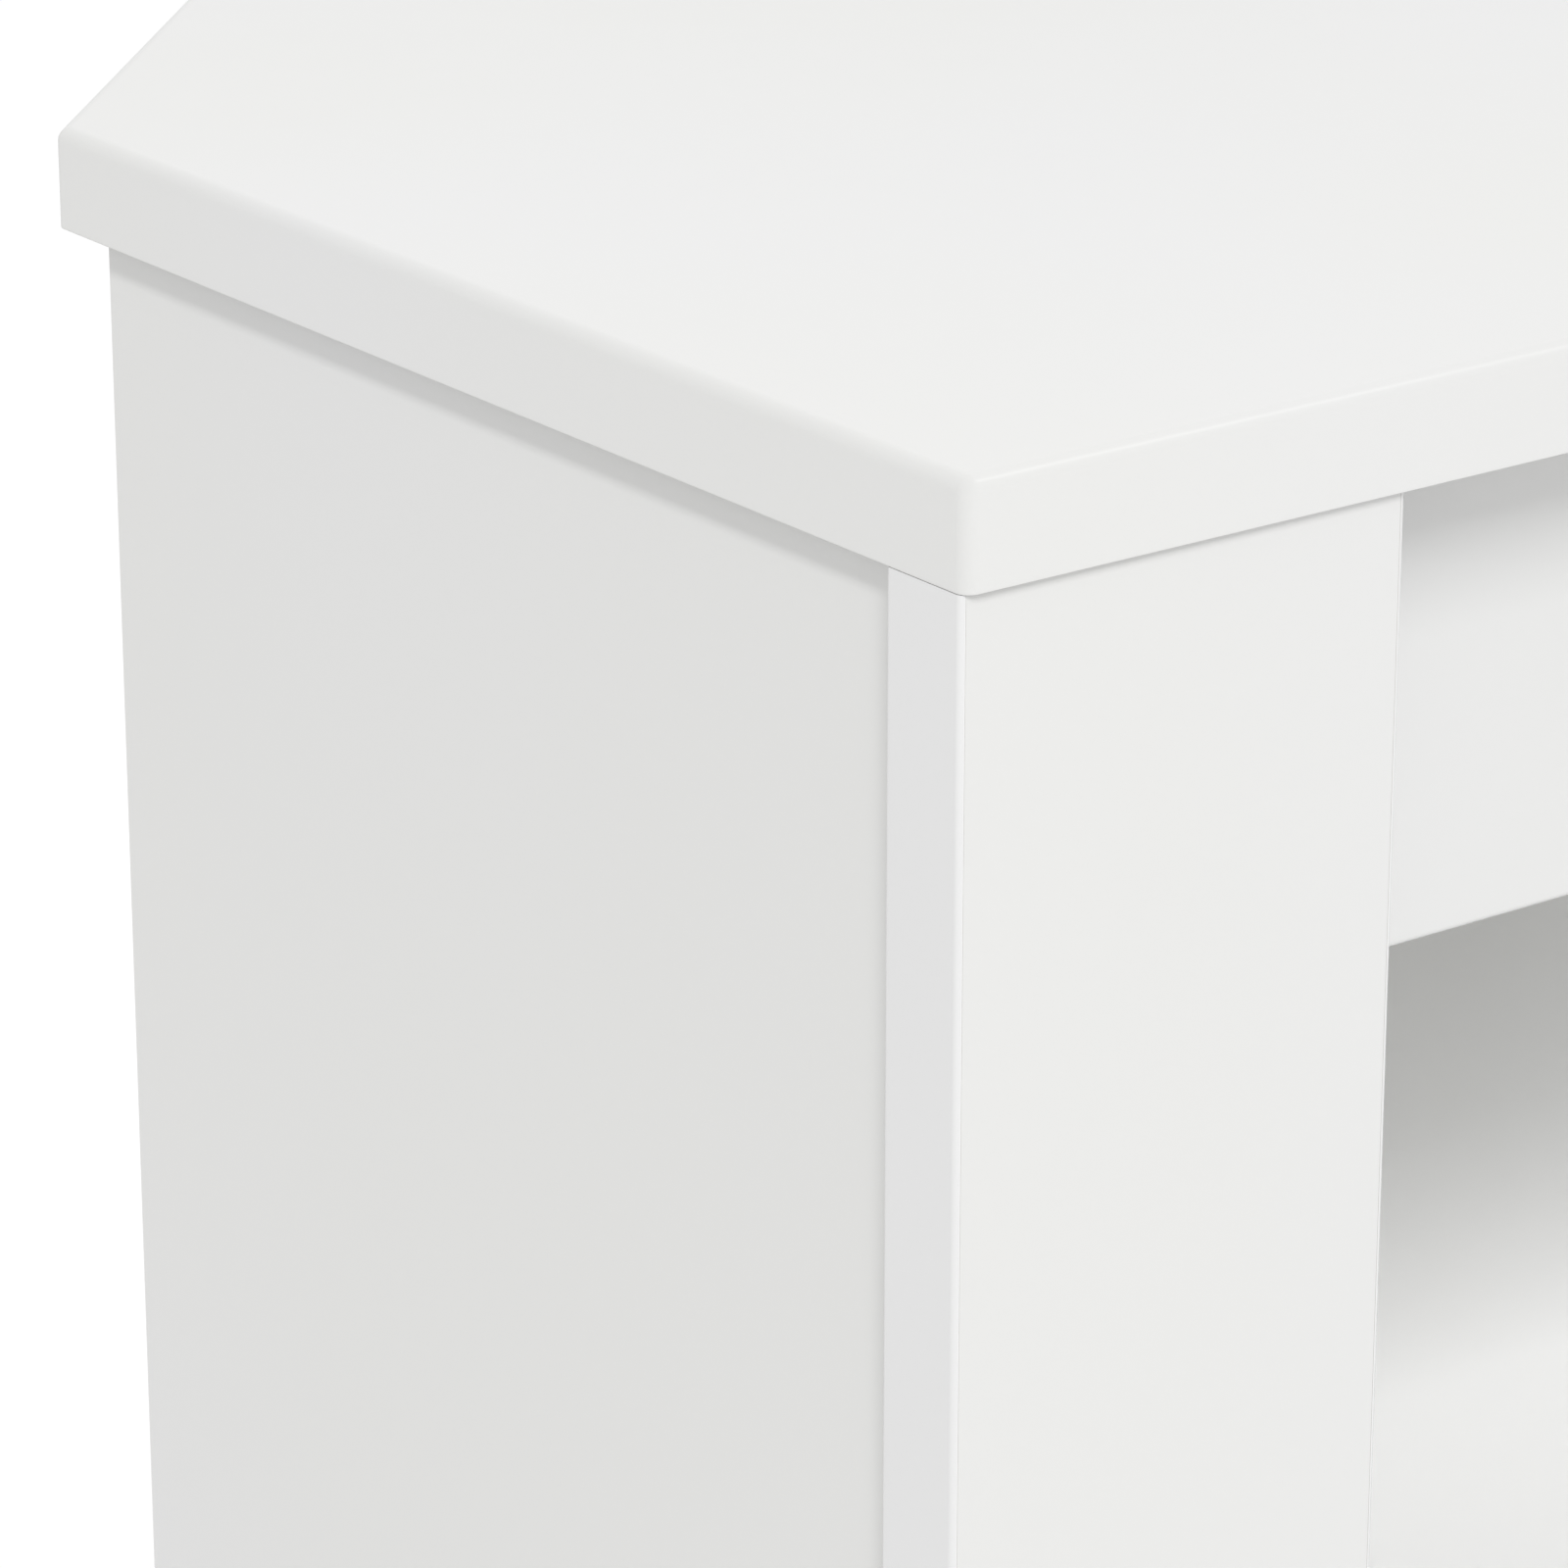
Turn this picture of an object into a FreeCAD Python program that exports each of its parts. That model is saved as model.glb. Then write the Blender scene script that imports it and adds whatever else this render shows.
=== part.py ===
import FreeCAD, Part
import math
import os

# Corner-fit console table in white foil-faced board: a six-sided top, an open compartment
# behind an apron, and two open bays with adjustable shelves below it.
#
# Millimetres. +X runs to the right along the front, +Y to the back, +Z up. The origin is on
# the floor, under the middle of the box that the top's outline fits in. Each board, strip or
# group of equal fittings goes to parts/ as a STEP file of its own.

# ---- sizes: the whole table --------------------------------------------------------------
WIDTH = 1100.0
DEPTH = 420.0
HEIGHT = 760.0
SIDE_LENGTH = 255.0  # straight side of the top, in front of its 45 degree back corner

# ---- sizes: boards -----------------------------------------------------------------------
TOP_THICK = 18.0
BOARD = 18.0  # every board of the carcass
STILE_WIDTH = 87.0
APRON_HEIGHT = 85.0
REAR_RAIL_HEIGHT = 60.0
PLINTH_HEIGHT = 60.0
SHELF_DROP = 212.0  # from the underside of the top to the upper face of the fixed shelf
BACK_THICK = 3.0
BACK_FLOOR_GAP = 12.0  # from the ends of the angled panels up to the back board
BACK_TOP_GAP = 1.0

FRONT_OVERHANG = 1.2  # top past the front faces of the stiles
SIDE_OVERHANG = 3.0  # top and stiles past the side panels
REAR_OVERHANG = 10.0  # top past the angled panels and the back board

TOP_ARRIS = 2.5  # rounding of the upper and upright arrises of the top
RAIL_ARRIS = 1.0  # rounding of the lower arrises of the apron
BAND = 1.0  # thickness of an edge band, and the radius of its arrises
SEAM = 0.1  # width of the fine groove between a stile and its edge band
SEAM_DEPTH = 0.5

ADJUSTABLE_SETBACK = 12.0  # front of an adjustable shelf behind the front of a fixed one
ADJUSTABLE_GAP = 1.0  # round the sides and back of an adjustable shelf

# ---- sizes: fittings ---------------------------------------------------------------------
SLIM_SIDES = 8  # sides of bolts, dowels, pins and nails, and of their bores
WIDE_SIDES = 10  # sides of cams, caps and glides
CAM_R = 7.5
CAM_LENGTH = 12.0
CAM_REACH = 24.0  # from the board's edge to the cam's axis
CAM_FIT = 0.1
CAP_R = 8.75
CAP_THICK = 1.0
CAP_CHAMFER = 0.4
BOLT_R = 3.0
BOLT_HEAD_R = 3.4
BOLT_HEAD_LENGTH = 3.0
BOLT_THREAD = 11.0  # screwed into a board's face
BOLT_BORE_R = 4.0
THREAD_FIT = 0.05

DOWEL_R = 4.0
DOWEL_IN_FACE = 10.0
DOWEL_IN_EDGE = 20.0
DOWEL_FIT = 0.05
BORE_END_GAP = 0.5  # left free at the blind end of a bore

PIN_R = 2.5
PIN_IN = 7.5
PIN_OUT = 8.0
PIN_TIP = 0.8  # chamfer of a shelf pin's free end
PIN_FIT = 0.05
PIN_PITCH = 32.0
PIN_STEPS = (-1, 0, 1)  # holes of a row, in pitches from the shelf's place

NAIL_R = 1.0
NAIL_HEAD_R = 2.5
NAIL_HEAD_THICK = 0.6
NAIL_LENGTH = 14.0
NAIL_FIT = 0.03

GLIDE_R = 8.0
GLIDE_THICK = 4.0
GLIDE_CHAMFER = 1.0
GLIDE_STEM_R = 3.0
GLIDE_STEM = 10.0
GLIDE_FIT = 0.05

OUTLET_R = 30.0  # cable outlet in the back board

# ---- places of the fittings --------------------------------------------------------------
FRONT_CAM_INSET = 60.0  # behind the plane of the shelf fronts
REAR_CAM_INSET = 30.0  # ahead of the mitres of the side panels
STILE_CAM_INSET = 110.0  # in from the ends of a stile
PARTITION_DOWEL_INSET = 70.0
PIN_FRONT_INSET = 37.0
PIN_REAR_INSET = 47.0
PIN_SIDE_INSET = 22.0  # ahead of the mitres of the side panels
NAIL_END_INSET = 45.0
NAIL_PITCH = 190.0
GLIDE_INSET = 14.0

# ---- planes that follow from the sizes ---------------------------------------------------
ROOT2 = math.sqrt(2.0)
top_front = -DEPTH / 2
top_back = DEPTH / 2
clip_start = top_front + SIDE_LENGTH
under_top = HEIGHT - TOP_THICK
carcass_bottom = GLIDE_THICK

stile_front = top_front + FRONT_OVERHANG
stile_back = stile_front + BOARD  # apron, plinth, shelves and partition all start here
board_front = stile_back + BAND  # their banded boards start behind the band
side_outer = WIDTH / 2 - SIDE_OVERHANG
side_inner = side_outer - BOARD
angled_outer = REAR_OVERHANG  # distances in from the top's angled edge
angled_middle = REAR_OVERHANG + BOARD / 2
angled_inner = REAR_OVERHANG + BOARD
back_outer = top_back - REAR_OVERHANG
back_inner = back_outer - BACK_THICK

fixed_top = under_top - SHELF_DROP
fixed_under = fixed_top - BOARD
bottom_under = carcass_bottom + PLINTH_HEIGHT
bottom_top = bottom_under + BOARD
adjustable_under = (bottom_top + fixed_under - BOARD) / 2

X_AXIS = FreeCAD.Vector(1, 0, 0)
Y_AXIS = FreeCAD.Vector(0, 1, 0)
Z_AXIS = FreeCAD.Vector(0, 0, 1)
INTO_ANGLED_SHELF = FreeCAD.Vector(-1, -1, 0) / ROOT2  # on the right-hand side


def clip_x(y, inset):
    """Right-hand x at depth y on the line parallel to the top's angled edge, inset in from it."""
    return WIDTH / 2 - (y - clip_start) - inset * ROOT2


def clip_y(x, inset):
    """Depth at right-hand x on the same line."""
    return clip_start + (WIDTH / 2 - x) - inset * ROOT2


mitre_outer = clip_y(side_outer, angled_outer)
mitre_inner = clip_y(side_inner, angled_inner)
angled_mid_y = (mitre_inner + back_inner) / 2

# ---- basic solids ------------------------------------------------------------------------


def block(x0, x1, y0, y1, z0, z1):
    return Part.makeBox(x1 - x0, y1 - y0, z1 - z0, FreeCAD.Vector(x0, y0, z0))


def edges_between(shape, test):
    """Edges whose two ends both pass the test."""
    return [e for e in shape.Edges if len(e.Vertexes) == 2 and all(test(v.Point) for v in e.Vertexes)]


def rod(start, direction, radius, length, sides=SLIM_SIDES):
    """Many-sided rod from start along direction, with its corners at radius. Fittings and
    their bores are made of these, always turned alike, so that a bore clears what is in it."""
    reference = X_AXIS if abs(direction.z) > abs(direction.x) + abs(direction.y) else Z_AXIS
    across = direction.cross(reference).normalize()
    turn = FreeCAD.Rotation(direction, 360 / sides)
    corners = [start + across * radius]
    for _ in range(sides):
        corners.append(start + turn.multVec(corners[-1] - start))
    corners[-1] = corners[0]
    return Part.Face(Part.makePolygon(corners)).extrude(direction * length)


def tipped_rod(start, direction, radius, length, tip, sides=SLIM_SIDES):
    """Rod with its far end chamfered by tip."""
    body = rod(start, direction, radius, length, sides)
    far = edges_between(body, lambda p: (p - start).dot(direction) > length - 1e-6)
    return body.makeChamfer(tip, far)


def prism(outline, z0, z1):
    """Upright prism on a plan outline of (x, y) corners."""
    corners = [FreeCAD.Vector(x, y, z0) for x, y in outline]
    face = Part.Face(Part.makePolygon(corners + corners[:1]))
    return face.extrude(Z_AXIS * (z1 - z0))


def mirrored(shape):
    """The same shape on the left-hand side."""
    return shape.mirror(FreeCAD.Vector(0, 0, 0), X_AXIS)


def both_sides(point):
    """A right-hand point and its mirror image, or one point where it lies in the middle."""
    if abs(point.x) < 1e-9:
        return [point]
    return [point, FreeCAD.Vector(-point.x, point.y, point.z)]


def spread(low, high, pitch):
    """Even places from low to high, no further apart than pitch."""
    steps = max(1, math.ceil((high - low) / pitch))
    return [low + (high - low) * i / steps for i in range(steps + 1)]


def is_upright(edge):
    ends = [v.Point for v in edge.Vertexes]
    return abs(ends[0].x - ends[1].x) < 1e-6 and abs(ends[0].y - ends[1].y) < 1e-6


def edge_band(corner, out, across, along, width, length):
    """Edge band on a board's edge. From corner it is BAND thick along out, width wide along
    across and length long along along, and its two outer arrises are quarter rounds."""

    def at(u, v):
        return corner + out * u + across * v

    bulge = BAND / ROOT2
    low = Part.Arc(at(0, 0), at(bulge, BAND - bulge), at(BAND, BAND))
    high = Part.Arc(at(BAND, width - BAND), at(bulge, width - BAND + bulge), at(0, width))
    wire = Part.Wire(
        [
            low.toShape(),
            Part.makeLine(at(BAND, BAND), at(BAND, width - BAND)),
            high.toShape(),
            Part.makeLine(at(0, width), at(0, 0)),
        ]
    )
    return Part.Face(wire).extrude(along * length)


# The nails of the back board stand in rows from one angled panel to the other. Each outer nail
# keeps clear of the panel's inner face, and the rails' dowels stand midway between two nails.
nail_tip_y = back_outer - NAIL_LENGTH
nail_seat_x = (clip_x(back_inner, angled_outer) + clip_x(nail_tip_y, angled_inner)) / 2
nail_xs = spread(-nail_seat_x, nail_seat_x, NAIL_PITCH)
rail_dowel_x = (nail_xs[-3] + nail_xs[-2]) / 2

# ---- top ---------------------------------------------------------------------------------


def top_slab():
    """Six-sided top. Every upright and upper arris is rounded, the lower ones are crisp."""
    half = WIDTH / 2
    outline = [
        (-half, top_front),
        (half, top_front),
        (half, clip_start),
        (clip_x(top_back, 0), top_back),
        (-clip_x(top_back, 0), top_back),
        (-half, clip_start),
    ]
    slab = prism(outline, under_top, HEIGHT)
    upright = [e for e in slab.Edges if is_upright(e)]
    upper = edges_between(slab, lambda p: p.z > HEIGHT - 1e-6)
    return slab.makeFillet(TOP_ARRIS, upright + upper)


# ---- uprights, modelled on the right-hand side -------------------------------------------


def stile_board():
    """Front stile without its edge bands, with a fine groove in front beside each band."""
    low_x = WIDTH / 2 - STILE_WIDTH + BAND
    high_x = WIDTH / 2 - BAND
    board = block(low_x, high_x, stile_front, stile_back, carcass_bottom, under_top)
    groove_back = stile_front + SEAM_DEPTH
    for x in (low_x, high_x - SEAM):
        board = board.cut(block(x, x + SEAM, stile_front, groove_back, carcass_bottom, under_top))
    return board


def stile_outer_band():
    corner = FreeCAD.Vector(WIDTH / 2 - BAND, stile_front, carcass_bottom)
    return edge_band(corner, X_AXIS, Y_AXIS, Z_AXIS, BOARD, under_top - carcass_bottom)


def stile_inner_band():
    corner = FreeCAD.Vector(WIDTH / 2 - STILE_WIDTH + BAND, stile_front, carcass_bottom)
    return edge_band(corner, -X_AXIS, Y_AXIS, Z_AXIS, BOARD, under_top - carcass_bottom)


def side_panel():
    """Side panel from the stile's back to the mitre with the angled panel."""
    outline = [
        (side_inner, stile_back),
        (side_outer, stile_back),
        (side_outer, mitre_outer),
        (side_inner, mitre_inner),
    ]
    return prism(outline, carcass_bottom, under_top)


def angled_panel():
    """45 degree panel from the side panel's mitre to the back board, bevelled to seat it."""
    outline = [
        (side_inner, mitre_inner),
        (side_outer, mitre_outer),
        (clip_x(back_inner, angled_outer), back_inner),
        (clip_x(back_inner, angled_inner), back_inner),
    ]
    return prism(outline, carcass_bottom, under_top)


# ---- rails -------------------------------------------------------------------------------


def front_rail(z0, z1):
    """Rail behind the stiles, from side panel to side panel."""
    return block(-side_inner, side_inner, stile_back, stile_back + BOARD, z0, z1)


def apron():
    rail = front_rail(under_top - APRON_HEIGHT, under_top)
    lower = edges_between(rail, lambda p: p.z < under_top - APRON_HEIGHT + 1e-6)
    return rail.makeFillet(RAIL_ARRIS, [e for e in lower if e.Length > BOARD * 2])


def rear_rail(z0, z1):
    """Rail against the back board, with ends bevelled to the angled panels."""
    front = back_inner - BOARD
    outline = [
        (-clip_x(front, angled_inner), front),
        (clip_x(front, angled_inner), front),
        (clip_x(back_inner, angled_inner), back_inner),
        (-clip_x(back_inner, angled_inner), back_inner),
    ]
    return prism(outline, z0, z1)


# ---- shelves and partition ---------------------------------------------------------------


def fixed_shelf(z0):
    """Shelf that fills the carcass from side to side and back to the back board."""
    outline = [
        (-side_inner, board_front),
        (side_inner, board_front),
        (side_inner, mitre_inner),
        (clip_x(back_inner, angled_inner), back_inner),
        (-clip_x(back_inner, angled_inner), back_inner),
        (-side_inner, mitre_inner),
    ]
    return prism(outline, z0, z0 + BOARD)


def fixed_shelf_band(z0):
    corner = FreeCAD.Vector(-side_inner, board_front, z0)
    return edge_band(corner, -Y_AXIS, Z_AXIS, X_AXIS, BOARD, 2 * side_inner)


def adjustable_low_x():
    return BOARD / 2 + ADJUSTABLE_GAP


def adjustable_high_x():
    return side_inner - ADJUSTABLE_GAP


def adjustable_shelf():
    """Right-hand adjustable shelf, clear by ADJUSTABLE_GAP of the boards round it."""
    front = board_front + ADJUSTABLE_SETBACK
    back = back_inner - ADJUSTABLE_GAP
    inset = angled_inner + ADJUSTABLE_GAP
    outline = [
        (adjustable_low_x(), front),
        (adjustable_high_x(), front),
        (adjustable_high_x(), clip_y(adjustable_high_x(), inset)),
        (clip_x(back, inset), back),
        (adjustable_low_x(), back),
    ]
    return prism(outline, adjustable_under, adjustable_under + BOARD)


def adjustable_band():
    front = board_front + ADJUSTABLE_SETBACK
    corner = FreeCAD.Vector(adjustable_low_x(), front, adjustable_under)
    length = adjustable_high_x() - adjustable_low_x()
    return edge_band(corner, -Y_AXIS, Z_AXIS, X_AXIS, BOARD, length)


def partition():
    return block(-BOARD / 2, BOARD / 2, board_front, back_inner, bottom_top, fixed_under)


def partition_band():
    corner = FreeCAD.Vector(-BOARD / 2, board_front, bottom_top)
    return edge_band(corner, -Y_AXIS, X_AXIS, Z_AXIS, BOARD, fixed_under - bottom_top)


def back_board():
    """Thin board over the backs of the shelves, with a round outlet for cables."""
    half = clip_x(back_outer, angled_outer)
    low = carcass_bottom + BACK_FLOOR_GAP
    board = block(-half, half, back_inner, back_outer, low, under_top - BACK_TOP_GAP)
    outlet_z = (fixed_top + under_top - REAR_RAIL_HEIGHT) / 2
    centre = FreeCAD.Vector(0, back_inner, outlet_z)
    return board.cut(Part.makeCylinder(OUTLET_R, BACK_THICK, centre, Y_AXIS))


# ---- fittings ----------------------------------------------------------------------------
# A joint is (point, into, face, edge board, face board): point lies where the two boards
# meet, into points into the board that is bored from its edge, and face is the way out of
# that board's face on the cam's side. The bores for each board are gathered in bores.


class Fittings:
    def __init__(self):
        self.solids = {}
        self.bores = {}

    def add(self, name, solid):
        self.solids.setdefault(name, []).append(solid)

    def bore(self, board, tool):
        self.bores.setdefault(board, []).append(tool)


def add_cam(fittings, point, into, face, edge_board, face_board, capped):
    """Cam, its bolt, its bores and, in a face that shows, its cap."""
    mouth = point + into * CAM_REACH + face * (BOARD / 2)
    slot = rod(point, into, BOLT_BORE_R, CAM_REACH + BOLT_BORE_R)
    fittings.add("cam_locks", rod(mouth, -face, CAM_R, CAM_LENGTH, WIDE_SIDES).cut(slot))
    cam_bore = rod(mouth, -face, CAM_R + CAM_FIT, CAM_LENGTH + CAM_FIT, WIDE_SIDES)
    fittings.bore(edge_board, cam_bore)
    fittings.bore(edge_board, rod(point, into, BOLT_BORE_R, CAM_REACH))

    shank = rod(point - into * BOLT_THREAD, into, BOLT_R, BOLT_THREAD + CAM_REACH - BOLT_HEAD_LENGTH)
    head_start = point + into * (CAM_REACH - BOLT_HEAD_LENGTH)
    fittings.add("cam_bolts", shank.fuse(rod(head_start, into, BOLT_HEAD_R, BOLT_HEAD_LENGTH)))
    depth = BOLT_THREAD + BORE_END_GAP
    fittings.bore(face_board, rod(point, -into, BOLT_R + THREAD_FIT, depth))

    if capped:
        fittings.add("cam_caps", tipped_rod(mouth, face, CAP_R, CAP_THICK, CAP_CHAMFER, WIDE_SIDES))


def add_dowel(fittings, point, into, edge_board, face_board):
    """Wooden dowel across the joint of a bored edge and a bored face."""
    length = DOWEL_IN_FACE + DOWEL_IN_EDGE
    fittings.add("wooden_dowels", rod(point - into * DOWEL_IN_FACE, into, DOWEL_R, length))
    bore_r = DOWEL_R + DOWEL_FIT
    fittings.bore(face_board, rod(point, -into, bore_r, DOWEL_IN_FACE + BORE_END_GAP))
    fittings.bore(edge_board, rod(point, into, bore_r, DOWEL_IN_EDGE + BORE_END_GAP))


def sided(name, x):
    """Name of the left or right board of a pair."""
    return ("right_" if x > 0 else "left_") + name


def add_side_cams(fittings):
    """Cams of the side panels: to the top, the stiles, the two fixed shelves and the apron."""
    middle = (side_inner + side_outer) / 2
    lengthwise = [stile_back + FRONT_CAM_INSET, mitre_inner - REAR_CAM_INSET]
    heights = [
        carcass_bottom + STILE_CAM_INSET,
        (carcass_bottom + under_top) / 2,
        under_top - STILE_CAM_INSET,
    ]
    for side in (1, -1):
        inward = X_AXIS * -side
        panel = sided("side_panel", side)
        stile = sided("stile", side)
        for y in lengthwise:
            point = FreeCAD.Vector(side * middle, y, under_top)
            add_cam(fittings, point, -Z_AXIS, inward, panel, "top_slab", True)
            for shelf, z in (("fixed_shelf", fixed_under), ("bottom_shelf", bottom_under)):
                point = FreeCAD.Vector(side * side_inner, y, z + BOARD / 2)
                add_cam(fittings, point, inward, -Z_AXIS, shelf, panel, False)
        for z in heights:
            point = FreeCAD.Vector(side * middle, stile_back, z)
            add_cam(fittings, point, Y_AXIS, inward, panel, stile, True)
        point = FreeCAD.Vector(side * side_inner, stile_back + BOARD / 2, under_top - APRON_HEIGHT / 3)
        add_cam(fittings, point, inward, Y_AXIS, "apron", panel, False)


def add_dowels(fittings):
    """Dowels of the rails, the partition and the angled panels."""
    front_y = stile_back + BOARD / 2
    rear_y = back_inner - BOARD / 2
    for side in (1, -1):
        inward = X_AXIS * -side
        panel = sided("side_panel", side)
        for board, z in (
            ("apron", under_top - APRON_HEIGHT * 2 / 3),
            ("front_plinth", (carcass_bottom + bottom_under) / 2),
        ):
            add_dowel(fittings, FreeCAD.Vector(side * side_inner, front_y, z), inward, board, panel)

        for board, face_board, y, z in (
            ("apron", "top_slab", front_y, under_top),
            ("rear_rail", "top_slab", rear_y, under_top),
            ("front_plinth", "bottom_shelf", front_y, bottom_under),
            ("rear_plinth", "bottom_shelf", rear_y, bottom_under),
        ):
            add_dowel(fittings, FreeCAD.Vector(side * rail_dowel_x, y, z), -Z_AXIS, board, face_board)

        angled = sided("angled_panel", side)
        x = clip_x(angled_mid_y, angled_middle)
        add_dowel(fittings, FreeCAD.Vector(side * x, angled_mid_y, under_top), -Z_AXIS, angled, "top_slab")
        x = clip_x(angled_mid_y, angled_inner)
        into = FreeCAD.Vector(side * INTO_ANGLED_SHELF.x, INTO_ANGLED_SHELF.y, 0)
        for shelf, z in (("fixed_shelf", fixed_under), ("bottom_shelf", bottom_under)):
            point = FreeCAD.Vector(side * x, angled_mid_y, z + BOARD / 2)
            add_dowel(fittings, point, into, shelf, angled)

    for y in (board_front + PARTITION_DOWEL_INSET, back_inner - PARTITION_DOWEL_INSET):
        add_dowel(fittings, FreeCAD.Vector(0, y, fixed_under), -Z_AXIS, "partition", "fixed_shelf")
        add_dowel(fittings, FreeCAD.Vector(0, y, bottom_top), Z_AXIS, "partition", "bottom_shelf")


def add_pins(fittings):
    """Rows of pin holes in side panels and partition, and the pins under the shelves."""
    axis_z = adjustable_under - PIN_R
    front_y = board_front + PIN_FRONT_INSET
    places = [
        (side_inner, front_y, -1),
        (side_inner, mitre_inner - PIN_SIDE_INSET, -1),
        (BOARD / 2, front_y, 1),
        (BOARD / 2, back_inner - PIN_REAR_INSET, 1),
    ]
    for side in (1, -1):
        for x, y, way in places:
            board = "partition" if way > 0 else sided("side_panel", side)
            out = X_AXIS * (side * way)
            for step in PIN_STEPS:
                mouth = FreeCAD.Vector(side * x, y, axis_z + step * PIN_PITCH)
                fittings.bore(board, rod(mouth, -out, PIN_R + PIN_FIT, PIN_IN + BORE_END_GAP))
            inner_end = FreeCAD.Vector(side * x, y, axis_z) - out * PIN_IN
            fittings.add("shelf_pins", tipped_rod(inner_end, out, PIN_R, PIN_IN + PIN_OUT, PIN_TIP))


def nail_places():
    """(x, z, board ahead of the back board) of every nail."""
    low = carcass_bottom + BACK_FLOOR_GAP + NAIL_END_INSET
    high = under_top - BACK_TOP_GAP - NAIL_END_INSET
    places = []
    for z in spread(low, high, NAIL_PITCH):
        places += [(side * nail_seat_x, z, sided("angled_panel", side)) for side in (1, -1)]
    for board, z in (
        ("bottom_shelf", bottom_under + BOARD / 2),
        ("fixed_shelf", fixed_under + BOARD / 2),
        ("rear_rail", under_top - REAR_RAIL_HEIGHT / 2),
    ):
        places += [(x, z, board) for x in nail_xs[1:-1]]
    places += [(0, z, "partition") for z in spread(bottom_top, fixed_under, NAIL_PITCH)[1:-1]]
    return places


def add_nails(fittings):
    for x, z, board in nail_places():
        point = FreeCAD.Vector(x, back_outer, z)
        shank = rod(point, -Y_AXIS, NAIL_R, NAIL_LENGTH)
        head = rod(point, Y_AXIS, NAIL_HEAD_R, NAIL_HEAD_THICK)
        fittings.add("back_nails", shank.fuse(head))
        hole = rod(point, -Y_AXIS, NAIL_R + NAIL_FIT, NAIL_LENGTH + BORE_END_GAP)
        fittings.bore("back_board", hole)
        fittings.bore(board, hole)


def glide_places():
    """(right-hand x, y, board) of every glide."""
    angled_y = back_inner - GLIDE_INSET
    return [
        (WIDTH / 2 - GLIDE_INSET, stile_front + BOARD / 2, "stile"),
        (WIDTH / 2 - STILE_WIDTH + GLIDE_INSET, stile_front + BOARD / 2, "stile"),
        ((side_inner + side_outer) / 2, mitre_inner - GLIDE_INSET, "side_panel"),
        (clip_x(angled_y, angled_middle), angled_y, "angled_panel"),
        (0, stile_back + BOARD / 2, "front_plinth"),
        (0, back_inner - BOARD / 2, "rear_plinth"),
    ]


def add_glides(fittings):
    """Plastic glides that carry the table clear of the floor, each on a pressed-in stem."""
    for x, y, board in glide_places():
        for point in both_sides(FreeCAD.Vector(x, y, 0)):
            seat = point + Z_AXIS * GLIDE_THICK
            pad = tipped_rod(seat, -Z_AXIS, GLIDE_R, GLIDE_THICK, GLIDE_CHAMFER, WIDE_SIDES)
            fittings.add("floor_glides", pad.fuse(rod(seat, Z_AXIS, GLIDE_STEM_R, GLIDE_STEM)))
            name = board if x == 0 else sided(board, point.x)
            hole = rod(seat, Z_AXIS, GLIDE_STEM_R + GLIDE_FIT, GLIDE_STEM + BORE_END_GAP)
            fittings.bore(name, hole)


# ---- the table ---------------------------------------------------------------------------


def boards():
    """Every board and edge band by name, before boring."""
    made = {
        "top_slab": top_slab(),
        "apron": apron(),
        "rear_rail": rear_rail(under_top - REAR_RAIL_HEIGHT, under_top),
        "front_plinth": front_rail(carcass_bottom, bottom_under),
        "rear_plinth": rear_rail(carcass_bottom, bottom_under),
        "fixed_shelf": fixed_shelf(fixed_under),
        "fixed_shelf_band": fixed_shelf_band(fixed_under),
        "bottom_shelf": fixed_shelf(bottom_under),
        "bottom_shelf_band": fixed_shelf_band(bottom_under),
        "partition": partition(),
        "partition_band": partition_band(),
        "back_board": back_board(),
    }
    pairs = {
        "stile": stile_board,
        "stile_outer_band": stile_outer_band,
        "stile_inner_band": stile_inner_band,
        "side_panel": side_panel,
        "angled_panel": angled_panel,
        "adjustable_shelf": adjustable_shelf,
        "adjustable_shelf_band": adjustable_band,
    }
    for name, make in pairs.items():
        made["right_" + name] = make()
        made["left_" + name] = mirrored(make())
    return made


def main():
    fittings = Fittings()
    add_side_cams(fittings)
    add_dowels(fittings)
    add_pins(fittings)
    add_nails(fittings)
    add_glides(fittings)

    parts = boards()
    for board, tools in fittings.bores.items():
        parts[board] = parts[board].cut(tools)
    for name, solids in fittings.solids.items():
        parts[name] = Part.makeCompound(solids)

    os.makedirs("parts", exist_ok=True)
    for name, shape in sorted(parts.items()):
        shape.exportStep(f"parts/{name}.step")
        print(f"{name}: {len(shape.Solids)} solid(s), valid {shape.isValid()}, {shape.Volume / 1000:.1f} cm3")


main()
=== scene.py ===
# %% [markdown]
# # Corner-fit console table in white foil-faced board
#
# The construction of the table comes in ready made, as a frame of measured solids. This script
# adds what the eye sees: rounded arrises, plastic edge bands, turned fittings, the finish of
# each surface, a soft studio light and a camera. Everything is in metres, with +X to the right
# along the front, +Y to the back and +Z up from the floor.

# %% Load the frame
import math

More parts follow.
